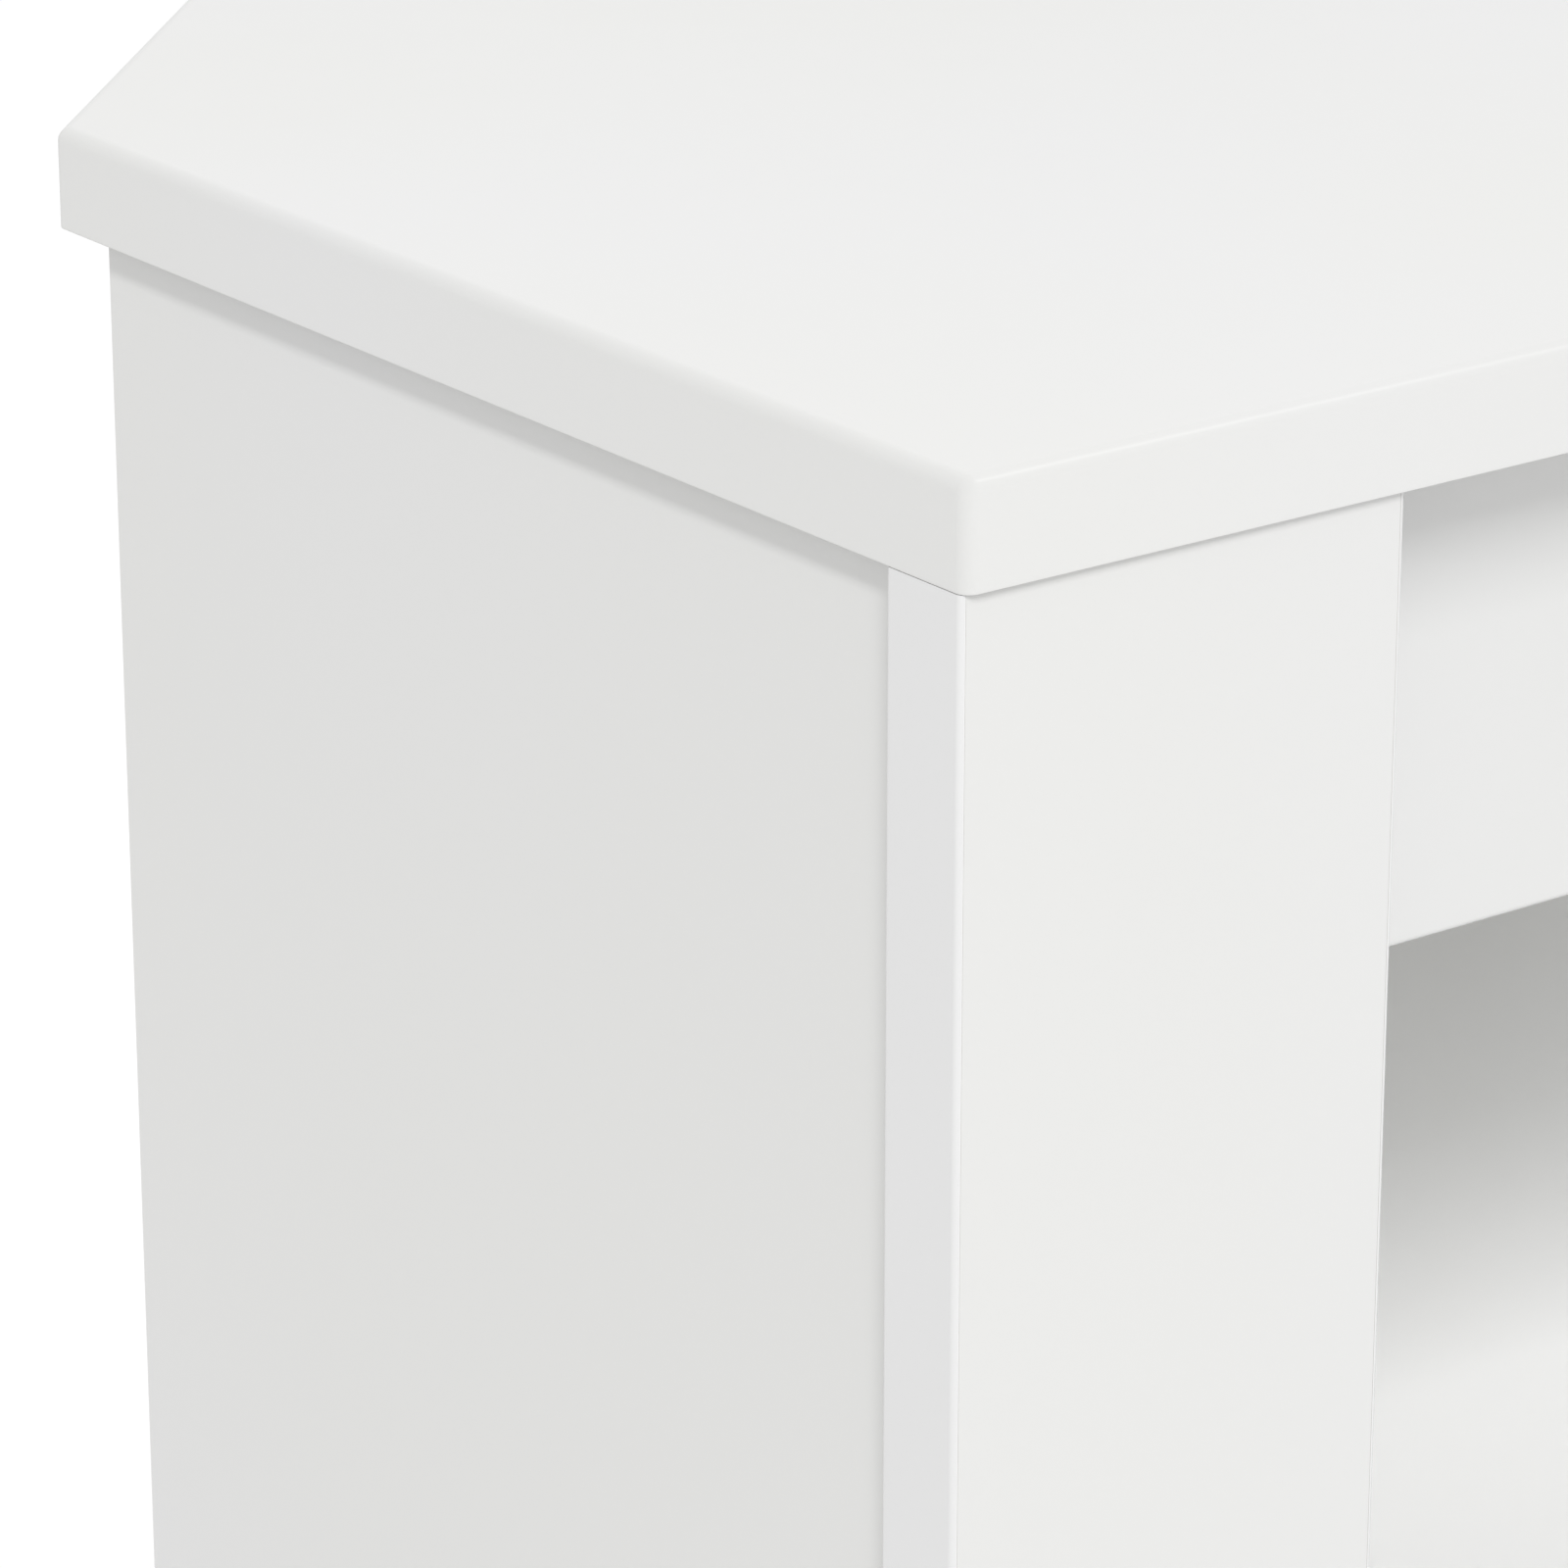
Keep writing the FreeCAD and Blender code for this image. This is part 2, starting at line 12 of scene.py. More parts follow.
import bmesh
import bpy
import numpy as np
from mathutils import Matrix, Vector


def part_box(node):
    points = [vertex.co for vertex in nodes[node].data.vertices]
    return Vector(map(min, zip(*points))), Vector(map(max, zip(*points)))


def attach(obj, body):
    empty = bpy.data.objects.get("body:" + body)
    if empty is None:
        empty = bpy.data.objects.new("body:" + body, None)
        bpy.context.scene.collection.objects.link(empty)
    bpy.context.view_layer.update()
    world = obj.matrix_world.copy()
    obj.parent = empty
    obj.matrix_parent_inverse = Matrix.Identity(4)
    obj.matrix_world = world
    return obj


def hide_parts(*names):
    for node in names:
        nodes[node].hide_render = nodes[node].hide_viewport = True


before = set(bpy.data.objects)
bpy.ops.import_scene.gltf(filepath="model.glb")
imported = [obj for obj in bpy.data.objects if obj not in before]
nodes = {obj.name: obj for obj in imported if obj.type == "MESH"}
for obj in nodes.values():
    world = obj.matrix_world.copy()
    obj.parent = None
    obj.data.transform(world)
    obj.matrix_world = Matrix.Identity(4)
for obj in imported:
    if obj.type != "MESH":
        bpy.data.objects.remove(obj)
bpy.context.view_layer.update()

# %% [markdown]
# ## Sizes
#
# A few sizes are the maker's own choice, such as how far an arris is rounded. All others are
# measured on the frame, so that a changed table needs no change here. The back corners of the
# top are cut off at 45 degrees. Where that cut starts can be read from the solid: it is past
# the last point of the straight side by the length that the rounded corner takes away.

# %% Sizes that are chosen
MM = 0.001
MICRON = 1e-6
DECIMALS = 6  # of a metre, to which places are compared
X, Y, Z = range(3)  # places in a row of coordinates
TOP_ARRIS = 2.5 * MM  # rounding of the upper and upright arrises of the top
LOWER_ARRIS = 0.15 * MM  # the lower arris of the top is nearly sharp
BOARD_ARRIS = 0.3 * MM  # and the edges of the other boards are only eased
FLAT_STRIP = 0.4 * MM  # width of the flat strip beside a rounded arris
ARC_STEPS = 10  # facets in a quarter round
CUT_TURN = 45  # degrees from the side of the top to its cut corner
print(f"arris of the top {TOP_ARRIS / MM} mm, of the other boards {BOARD_ARRIS / MM} mm")


# %% Sizes that are measured
def points_of(node):
    """Corners of a node's triangles as rows of x, y, z."""
    mesh = nodes[node].data
    flat = np.empty(len(mesh.vertices) * 3)
    mesh.vertices.foreach_get("co", flat)
    return flat.reshape(-1, 3)


def box_of(node):
    """Lowest and highest corner of the box round a node."""
    return [np.array(corner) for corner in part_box(node)]


top_low, top_high = box_of("top_slab")
top_points = points_of("top_slab")
on_side = np.isclose(top_points[:, X], top_high[X], atol=10 * MICRON)
rounded_away = TOP_ARRIS * math.tan(math.radians(CUT_TURN / 2))
clip_start = top_points[on_side, Y].max() + rounded_away
print(f"top {top_high - top_low}, back corners cut off from y = {clip_start:.4f}")

# %% [markdown]
# ## From arrays to a mesh
#
# Every new piece is a surface on a grid: one parameter runs along each row of points, the other
# from row to row. Four neighbouring points make a face, so the faces of any grid come from one
# short piece of array arithmetic. Each row here is a closed ring, and the first and the last
# ring are filled by one flat face each, so what comes out is always a closed solid.


# %% Grids of points as solids
def grid_faces(row_count, column_count):
    """Faces between neighbouring rows of a grid whose rows are closed rings.

    Face (i, j) joins the points (i, j), (i, j+1), (i+1, j+1) and (i+1, j), counting j round
    the ring."""
    i, j = np.meshgrid(np.arange(row_count - 1), np.arange(column_count), indexing="ij")
    right = (j + 1) % column_count
    corners = [
        i * column_count + j,
        i * column_count + right,
        (i + 1) * column_count + right,
        (i + 1) * column_count + j,
    ]
    return np.stack(corners, axis=-1).reshape(-1, 4)


def ring_solid(rings):
    """Points and faces of a closed solid through rings, an array of rows x columns x 3.

    The sides join each ring to the next one. The first and the last ring are filled flat."""
    row_count, column_count, _ = rings.shape
    faces = grid_faces(row_count, column_count).tolist()
    first = np.arange(column_count)[::-1]
    last = first[::-1] + (row_count - 1) * column_count
    return rings.reshape(-1, 3), faces + [first.tolist(), last.tolist()]


def joined(solids):
    """One list of points and one of faces from several solids."""
    points = np.concatenate([p for p, _ in solids])
    starts = np.cumsum([0] + [len(p) for p, _ in solids[:-1]])
    faces = [[k + int(s) for k in face] for (_, fs), s in zip(solids, starts) for face in fs]
    return points, faces


print(f"two rings of four points make {len(ring_solid(np.zeros((2, 4, 3)))[1])} faces, a box")

# %% [markdown]
# A piece takes the place of one or more solids of the frame, and rides on the same body. Its
# points already are where they belong, so the object itself stays at the origin, unturned.

# %% Make a piece of the table
SAME_POINT = 0.1 * MICRON  # points nearer than this are one point
SHARP_ANGLE = 35  # degrees, above which an edge stays sharp in the shading


def piece(name, points, faces, slot, *replaced):
    """A mesh piece of the table that stands for the replaced nodes.

    Points that coincide are merged, faces are turned outwards, and gentle edges are shaded
    smooth."""
    mesh = bpy.data.meshes.new(name)
    mesh.from_pydata(points.tolist(), [], faces)
    work = bmesh.new()
    work.from_mesh(mesh)
    bmesh.ops.remove_doubles(work, verts=work.verts, dist=SAME_POINT)
    bmesh.ops.recalc_face_normals(work, faces=work.faces)
    work.to_mesh(mesh)
    work.free()
    mesh.polygons.foreach_set("use_smooth", np.ones(len(mesh.polygons), dtype=bool))
    mesh.set_sharp_from_angle(angle=math.radians(SHARP_ANGLE))
    made = bpy.data.objects.new(name, mesh)
    bpy.context.scene.collection.objects.link(made)
    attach(made, "root")
    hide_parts(*replaced)
    print(f"{name}: {len(mesh.polygons)} faces, stands for {', '.join(replaced)}")
    return made


print(f"an edge above {SHARP_ANGLE} degrees stays sharp")

# %% [markdown]
# ## The top
#
# The top is one board of six sides with a soft rounding all round its upper edge and down each
# corner, and a nearly sharp lower edge. It could be a box with a bevel, but its shape is simple
# enough to write down: a plan outline with rounded corners, and a profile that says how far the
# surface lies inside that outline at each height. Sweeping the profile round the outline gives
# the whole surface. Each rounding is flanked by a narrow flat strip, so that the big flat faces
# stay flat in the light and only the arris shows a gradient.


# %% Rounded outline
def quarter(start, end, steps=ARC_STEPS):
    """Angles from start to end, given in degrees, in even steps, as radians."""
    return np.radians(np.linspace(start, end, steps + 1))


def rounded_outline(corners, radius, margin):
    """Points and outward normals round a convex plan outline with rounded corners.

    At a corner, the outward normal turns evenly from one side's to the next side's, and the
    point is the corner moved in along the bisector so that a circle of the radius touches both
    sides, plus radius times the normal. One more point lies a margin away on each side."""
    corners = np.asarray(corners, dtype=float)
    ahead = np.roll(corners, -1, axis=0) - corners
    ahead /= np.linalg.norm(ahead, axis=1, keepdims=True)
    behind = np.roll(ahead, 1, axis=0)
    points, normals = [], []
    for corner, along_in, along_out in zip(corners, behind, ahead):
        normal_in = np.array([along_in[1], -along_in[0]])
        normal_out = np.array([along_out[1], -along_out[0]])
        bisector = normal_in + normal_out
        centre = corner - radius * bisector * 2 / (bisector @ bisector)
        start = math.atan2(normal_in[1], normal_in[0])
        turn = math.acos(np.clip(normal_in @ normal_out, -1, 1))
        angles = start + np.linspace(0, turn, ARC_STEPS + 1)
        normal = np.column_stack([np.cos(angles), np.sin(angles)])
        arc = centre + radius * normal
        points += [arc[:1] - margin * along_in, arc, arc[-1:] + margin * along_out]
        normals += [normal[:1], normal, normal[-1:]]
    return np.concatenate(points), np.concatenate(normals)


half = top_high[X]
back_half = half - (top_high[Y] - clip_start)  # a cut at 45 degrees takes as much off both sides
top_corners = [
    (-half, top_low[Y]),
    (half, top_low[Y]),
    (half, clip_start),
    (back_half, top_high[Y]),
    (-back_half, top_high[Y]),
    (-half, clip_start),
]
outline, normals = rounded_outline(top_corners, TOP_ARRIS, FLAT_STRIP)
print(f"outline of the top: {len(top_corners)} corners, {len(outline)} points")

# %% Profile of the edge
LOWER_STEPS = 3  # facets in the small lower arris


def slab_profile(low, high, lower_arris, upper_arris):
    """(inset, height) of a board's edge from its underside to its upper face.

    Both arrises are quarter circles: the inset is radius times one minus the cosine of the
    turn, and the height is radius times its sine."""
    rows = [(lower_arris + FLAT_STRIP, low)]
    for t in quarter(-90, 0, LOWER_STEPS):
        rows.append((lower_arris * (1 - math.cos(t)), low + lower_arris * (1 + math.sin(t))))
    rows += [(0, low + lower_arris + FLAT_STRIP), (0, high - upper_arris - FLAT_STRIP)]
    for t in quarter(0, 90):
        rows.append((upper_arris * (1 - math.cos(t)), high - upper_arris * (1 - math.sin(t))))
    return np.array(rows)


def swept_board(outline, normals, profile):
    """Rings of a board: point = outline - inset x normal, at the profile's height."""
    inset, height = profile[:, :1, None], profile[:, 1]
    plan = outline[None] - inset * normals[None]
    heights = np.broadcast_to(height[:, None, None], plan.shape[:2] + (1,))
    return np.concatenate([plan, heights], axis=2)


profile = slab_profile(top_low[Z], top_high[Z], LOWER_ARRIS, TOP_ARRIS)
print(f"edge of the top: {len(profile)} heights")

# %% Sweep the top
rings = swept_board(outline, normals, profile)
strip_inwards = np.array([FLAT_STRIP, FLAT_STRIP, 0]) * np.sign(rings[-1:])
rings = np.concatenate([rings, rings[-1:] - strip_inwards])
top_board = piece("top_board", *ring_solid(rings), "top_foil", "top_slab")

# %% [markdown]
# ## Edge bands
#
# The raw edges of the stiles, shelves and partition are closed by plastic strips one millimetre
# thick, glued on and then trimmed to a quarter round on both arrises. These bright thin arrises
# draw the lines of the front. Each strip is one section, the same at both ends, so it is two
# rings of points: the section itself, placed at the start and at the end of the strip.

# %% Strips from one section
BAND_JOINT = 0.07 * MM  # a stile's band is trimmed this much short of the top


def band_section(thickness, width):
    """(out, across) points of a band: flat back, quarter rounds of its own thickness in front.

    On the first arris the point is thickness x (sin t, 1 - cos t), and the second one is its
    mirror image across the middle of the width."""
    t = quarter(0, 90)
    first = thickness * np.column_stack([np.sin(t), 1 - np.cos(t)])
    flat_strip = np.array([[thickness, thickness + FLAT_STRIP]])
    low_half = np.concatenate([first, flat_strip])
    high_half = low_half[::-1] * [1, -1] + [0, width]
    return np.concatenate([low_half, high_half])


def edge_strip(name, node, out_axis, out_sign, along_axis, trim=0.0, more=()):
    """Band piece in the place of its node, facing out_sign along out_axis.

    More solids, such as a line of glue behind it, become part of the same piece."""
    low, high = box_of(node)
    across_axis = 3 - out_axis - along_axis
    size = high - low
    section = band_section(size[out_axis], size[across_axis])
    back = low[out_axis] if out_sign > 0 else high[out_axis]
    rings = np.empty((2, len(section), 3))
    rings[:, :, out_axis] = back + out_sign * section[:, 0]
    rings[:, :, across_axis] = low[across_axis] + section[:, 1]
    rings[0, :, along_axis] = low[along_axis]
    rings[1, :, along_axis] = high[along_axis] - trim
    return piece(name, *joined([ring_solid(rings), *more]), "edge_band", node)


print(f"section of a band: {len(band_section(1 * MM, 18 * MM))} points")

# %% [markdown]
# A fine groove runs down the face of a stile beside each band. It is nearly full of glue. The
# groove is narrower than a hair, but how deep it is decides how dark its line is, so the glue
# is a solid of its own: a long box that ends just below the face. The sizes of the groove are
# read from the corners of the stile.

# %% Glue in the grooves
GLUE_SINK = 0.06 * MM  # from the face of the stile down to the glue


def glue_line(stile, way):
    """Box of glue in the groove at the low x of a stile (way -1) or at its high x (way 1).

    The two outermost x of the stile are its end and the inner wall of the groove. The groove is
    as deep as the deepest point on that wall."""
    points = points_of(stile)
    across = np.unique(np.round(points[:, X], DECIMALS))
    end, wall = (across[-1], across[-2]) if way > 0 else (across[0], across[1])
    left, right = min(end, wall), max(end, wall)
    front = points[:, Y].min() + GLUE_SINK
    back = points[np.isclose(points[:, X], wall, atol=MICRON), Y].max()
    rings = np.empty((2, 4, 3))
    rings[:, :, :2] = [(left, front), (right, front), (right, back), (left, back)]
    rings[0, :, Z] = points[:, Z].min()
    rings[1, :, Z] = points[:, Z].max() - BAND_JOINT
    print(f"{stile}: glue {(right - left) / MM:.2f} x {(back - front) / MM:.2f} mm")
    return ring_solid(rings)


print(f"the glue ends {GLUE_SINK / MM:.2f} mm below the face")

# %% Bands of the stiles, shelves and partition
strips = []
for side, sign in (("left", -1), ("right", 1)):
    for edge, way in (("outer", sign), ("inner", -sign)):
        node, name = f"{side}_stile_{edge}_band", f"{side}_stile_{edge}_strip"
        glue = glue_line(f"{side}_stile", way)
        strips.append(edge_strip(name, node, X, way, Z, trim=BAND_JOINT, more=[glue]))
    node = f"{side}_adjustable_shelf_band"
    strips.append(edge_strip(f"{side}_adjustable_shelf_strip", node, Y, -1, X))
for board in ("fixed_shelf", "bottom_shelf"):
    strips.append(edge_strip(f"{board}_strip", f"{board}_band", Y, -1, X))
strips.append(edge_strip("partition_strip", "partition_band", Y, -1, Z))

# %% [markdown]
# ## Where the small fittings are
#
# Nails, pins, caps, cams and glides come as groups: one node holds all fittings of a kind. To
# put a finer piece in the place of each, the group is split into its separate solids. Triangles
# that share a corner belong together, so every corner starts with its own number, and each
# triangle passes its lowest number to its corners until nothing changes.


# %% Split a node into its solids
def solids_of(node):
    """Lowest and highest corner of each separate solid of a node, as two arrays of rows."""
    mesh = nodes[node].data
    mesh.calc_loop_triangles()
    flat = np.empty(len(mesh.loop_triangles) * 3, dtype=np.int64)
    mesh.loop_triangles.foreach_get("vertices", flat)
    rounded = np.round(points_of(node), DECIMALS)
    places, same = np.unique(rounded, axis=0, return_inverse=True)
    triangles = same.ravel()[flat].reshape(-1, 3)
    label = np.arange(len(places))
    changed = True
    while changed:
        passed = label.copy()
        np.minimum.at(passed, triangles.ravel(), np.repeat(label[triangles].min(axis=1), 3))
        changed = not np.array_equal(passed, label)
        label = passed
    groups = [places[label == k] for k in np.unique(label)]
    print(f"{node}: {len(groups)} solids")
    return np.array([g.min(axis=0) for g in groups]), np.array([g.max(axis=0) for g in groups])


kinds_of_fitting = ("cam_caps", "floor_glides", "shelf_pins", "back_nails", "cam_locks")
boxes_of = {node: solids_of(node) for node in kinds_of_fitting}

# %% [markdown]
# ## Turned fittings
#
# A turned part is a profile of radius against height, carried round an axis. The same recipe
# makes a cap, a nail, a pin and a glide, with other numbers.

# %% Profiles carried round an axis
TURNED_STEPS = 40  # points round a turned part
DOME_TURN = 88  # degrees, just short of the pole, which the last flat face closes
DOME_STEPS = 6


def turned(profile, steps=TURNED_STEPS):
    """Rings round +Z: point = (radius cos t, radius sin t, height) for each row of a profile."""
    t = np.linspace(0, 2 * math.pi, steps, endpoint=False)
    radius, height = np.asarray(profile, dtype=float).T[:, :, None]
    return np.stack([radius * np.cos(t), radius * np.sin(t), height + 0 * t], axis=-1)


def placed(rings, origin, axis, sign):
    """Solid through the same rings, with +Z turned to point sign along axis, moved to origin."""
    order = [(axis + 1) % 3, (axis + 2) % 3, axis]
    moved = np.empty_like(rings)
    moved[..., order[0]] = rings[..., X]
    moved[..., order[1]] = rings[..., Y] * sign
    moved[..., order[2]] = rings[..., Z] * sign
    return ring_solid(moved + origin)


def dome(radius, rim, rise, steps=DOME_STEPS):
    """Profile rows of a shallow dome on a rim: (radius cos t, rim + rise sin t)."""
    return [(radius * math.cos(t), rim + rise * math.sin(t)) for t in quarter(0, DOME_TURN, steps)]


print(f"a turned part has {TURNED_STEPS} points in each ring")

# %% Cover caps over the cams of the side panels
CAP_RIM = 0.35 * MM  # height of the straight rim below the dome

low, high = boxes_of["cam_caps"]
middle = (low + high) / 2
cap_radius = (high - low)[:, Y].max() / 2
cap_height = (high - low)[:, X].max()
cap = turned([(cap_radius, 0)] + dome(cap_radius, CAP_RIM, cap_height - CAP_RIM))
caps = []
for place in middle:
    inward = -np.sign(place[X])
    seat = place - np.array([inward * cap_height / 2, 0, 0])
    caps.append(placed(cap, seat, X, inward))
cover_caps = piece("cover_caps", *joined(caps), "white_plastic", "cam_caps")

# %% Glides under the stiles, panels and plinths
GLIDE_PAD = 4 * MM  # thickness of the pad under the wood
GLIDE_RIM = 1 * MM  # rounding of its lower edge
GLIDE_RIM_STEPS = 4
STEM_RADIUS = 2.7 * MM  # of the nail that holds the pad

low, high = boxes_of["floor_glides"]
pad_radius = (high - low)[:, X].max() / 2
glide_height = (high - low)[:, Z].max()
rim = [
    (pad_radius - GLIDE_RIM * (1 - math.cos(t)), GLIDE_RIM * (1 + math.sin(t)))
    for t in quarter(-90, 0, GLIDE_RIM_STEPS)
]
stem = [(pad_radius, GLIDE_PAD), (STEM_RADIUS, GLIDE_PAD), (STEM_RADIUS, glide_height)]
glide = turned(rim + stem)
glides = [placed(glide, np.array([x, y, 0]), Z, 1) for x, y, _ in (low + high) / 2]
floor_glides = piece("round_glides", *joined(glides), "glide_plastic", "floor_glides")

# %% Pins under the adjustable shelves
PIN_RADIUS = 2.3 * MM
PIN_NOSE = 0.8 * MM  # radius of the rounding at each end
PIN_NOSE_TURN, PIN_NOSE_STEPS = 80, 5  # degrees and facets of that rounding

low, high = boxes_of["shelf_pins"]
half_shank = (high - low)[:, X].max() / 2 - PIN_NOSE
far_end = [
    (PIN_RADIUS - PIN_NOSE * (1 - math.cos(t)), half_shank + PIN_NOSE * math.sin(t))
    for t in quarter(0, PIN_NOSE_TURN, PIN_NOSE_STEPS)
]
near_end = [(radius, -height) for radius, height in reversed(far_end)]
pin = turned(near_end + far_end)
pins = [placed(pin, place, X, 1) for place in (low + high) / 2]
shelf_pins = piece("round_shelf_pins", *joined(pins), "steel", "shelf_pins")

# %% Nails of the back board
NAIL_HEAD = 0.6 * MM  # thickness of the head
NAIL_RIM_SHARE = 0.3  # share of the thickness that is a straight rim
NAIL_SHANK = 0.9 * MM  # radius
NAIL_POINT = 2 * MM  # length
NAIL_TIP = 0.1 * MM  # radius
NAIL_STEPS, NAIL_DOME_STEPS = 24, 4

low, high = boxes_of["back_nails"]
head_radius = (high - low)[:, X].max() / 2
nail_length = (high - low)[:, Y].max() - NAIL_HEAD
shank = [(NAIL_TIP, -nail_length), (NAIL_SHANK, NAIL_POINT - nail_length), (NAIL_SHANK, 0)]
head_rim = NAIL_HEAD * NAIL_RIM_SHARE
head = [(head_radius, 0)] + dome(head_radius, head_rim, NAIL_HEAD - head_rim, NAIL_DOME_STEPS)
nail = turned(shank + head, NAIL_STEPS)
head_seat = high[:, Y].max() - NAIL_HEAD
nails = [placed(nail, np.array([x, head_seat, z]), Y, 1) for x, _, z in (low + high) / 2]
panel_nails = piece("panel_nails", *joined(nails), "steel", "back_nails")

# %% [markdown]
# ## Cams
#
# A cam is the metal drum that pulls a joint tight. Its face has a cross-shaped recess for a
# screwdriver. That could be cut out with a boolean, but rings can also change from one shape to
# another: here the radius depends on the angle too, so that the inner rings are a plus sign and
# the outer ones circles. The angles are chosen so that the corners of the plus are points.

# %% Cams with a cross recess
CAM_RADIUS = 7.1 * MM
CAM_EASE = 0.4 * MM  # slope at the rim of the face
CAM_SINK = 0.3 * MM  # how far a cam's face lies below the board's
CROSS_REACH = 3.6 * MM  # from the middle to the end of an arm
CROSS_HALF_WIDTH = 0.75 * MM
CROSS_DEPTH = 3 * MM
CROSS_TAPER = 0.8  # share of the width that is left at the bottom
NEARLY_ZERO = 1e-9  # keeps a division from failing


def plus_radius(t):
    """Distance from the middle of a plus sign to its outline in direction t.

    Within an arm it is the reach over the cosine, limited by the arm's half width over the
    sine: the larger of two such strips, one along each axis."""
    c, s = np.abs(np.cos(t)), np.abs(np.sin(t))
    c, s = c + NEARLY_ZERO, s + NEARLY_ZERO
    along_x = np.minimum(CROSS_REACH / c, CROSS_HALF_WIDTH / s)
    along_y = np.minimum(CROSS_REACH / s, CROSS_HALF_WIDTH / c)
    return np.maximum(along_x, along_y)


def cam_rings(length):
    """Rings of a cam whose face is at height 0, from its recess round to its inner end."""
    arm = math.atan2(CROSS_HALF_WIDTH, CROSS_REACH)
    quarter_turn = [0, arm, math.pi / 8, math.pi / 4, math.pi * 3 / 8, math.pi / 2 - arm]
    t = np.concatenate([np.array(quarter_turn) + k * math.pi / 2 for k in range(4)])
    plus = plus_radius(t)
    rows = [(plus * CROSS_TAPER, -CROSS_DEPTH), (plus, 0)]
    rows += [(CAM_RADIUS - CAM_EASE + 0 * t, 0), (CAM_RADIUS + 0 * t, -CAM_EASE)]
    rows += [(CAM_RADIUS + 0 * t, -length)]
    return np.array([np.column_stack([r * np.cos(t), r * np.sin(t), h + 0 * t]) for r, h in rows])


print(f"a cam has {cam_rings(CAM_RADIUS).shape[1]} points in each ring")

# %% [markdown]
# A cam is short and wide, so the shortest side of its box tells which way it points. The cams
# of the side panels open towards the middle of the table, those across its depth open to the
# back, and those of the level boards open downwards.

# %% Place the cams
low, high = boxes_of["cam_locks"]
cams = []
for lowest, highest in zip(low, high):
    size = highest - lowest
    axis = int(np.argmin(size))
    face = (lowest + highest) / 2
    if axis == X:
        way = -np.sign(face[X])
    else:
        way = 1 if axis == Y else -1
    face[axis] = (highest if way > 0 else lowest)[axis] - way * CAM_SINK
    cams.append(placed(cam_rings(size[axis] - CAM_SINK), face, axis, way))
cam_group = piece("cams", *joined(cams), "zinc", "cam_locks")

# %% [markdown]
# ## Eased boards
#
# The flat boards are exact as they come, with every bore in its place, so they stay. Only their
# corners are too perfect: foil folds round an edge with a radius of a few tenths of a
# millimetre, and that is what catches the light. Three modifiers add it without touching the
# mesh itself. The first welds the loose triangles together, the second merges those that lie in
# one plane, and the third cuts a fine round bevel.


# %% Fine bevels on the flat boards
FLAT_WITHIN = 0.5  # degrees between triangles that lie in one plane
BEVEL_ABOVE = 40  # degrees, below which an edge of a round bore stays as it is
BEVEL_FACETS = 2


def ease_edges(board):
    """Adds the three modifiers to a board of the frame."""
    weld = board.modifiers.new("weld", "WELD")
    weld.merge_threshold = MICRON
    planes = board.modifiers.new("planes", "DECIMATE")
    planes.decimate_type = "DISSOLVE"
    planes.angle_limit = math.radians(FLAT_WITHIN)
    bevel = board.modifiers.new("bevel", "BEVEL")
    bevel.width = BOARD_ARRIS
    bevel.segments = BEVEL_FACETS
    bevel.limit_method = "ANGLE"
    bevel.angle_limit = math.radians(BEVEL_ABOVE)
    bevel.harden_normals = False


eased = ["front_plinth", "rear_plinth", "rear_rail"]
eased += [f"{side}_{panel}_panel" for panel in ("side", "angled") for side in ("left", "right")]
for name in eased:
    ease_edges(nodes[name])
print(f"{len(eased)} boards eased by {BOARD_ARRIS / MM:.1f} mm")

# %% [markdown]
# ## Shader sums in plain Python
#
# A material is a graph of nodes, and its arithmetic is tedious to wire by hand. A small class
# wraps a socket and overloads the usual operators, so that `0.4 + 0.1 * noise` adds the two
# Math nodes it needs. Every other node comes from one method that takes the node's type, its
# settings and the values or links of its sockets.


# %% Sockets that take part in sums
class Value:
    """An output socket of a node tree. Sums and products of it add Math nodes."""

    def __init__(self, finish, socket):
        self.finish = finish
        self.socket = socket

    def maths(self, operation, *inputs):
        """The result of one more Math node."""
        return self.finish.node("ShaderNodeMath", {"operation": operation}, dict(enumerate(inputs)))

    def __add__(self, other):
        return self.maths("ADD", self, other)

    def __radd__(self, other):
        return self.maths("ADD", other, self)

    def __sub__(self, other):
        return self.maths("SUBTRACT", self, other)

    def __rsub__(self, other):
        return self.maths("SUBTRACT", other, self)

    def __mul__(self, other):
        return self.maths("MULTIPLY", self, other)

    def __rmul__(self, other):
        return self.maths("MULTIPLY", other, self)

    def size(self):
        """The value without its sign."""
        return self.maths("ABSOLUTE", self)

    def at_least(self, floor):
        """The value, or the floor where that is higher."""
        return self.maths("MAXIMUM", self, floor)

    def above(self, edge):
        """1 where the value is above the edge, 0 elsewhere."""
        return self.maths("GREATER_THAN", self, edge)

    def below(self, edge):
        """1 where the value is below the edge, 0 elsewhere."""
        return self.maths("LESS_THAN", self, edge)


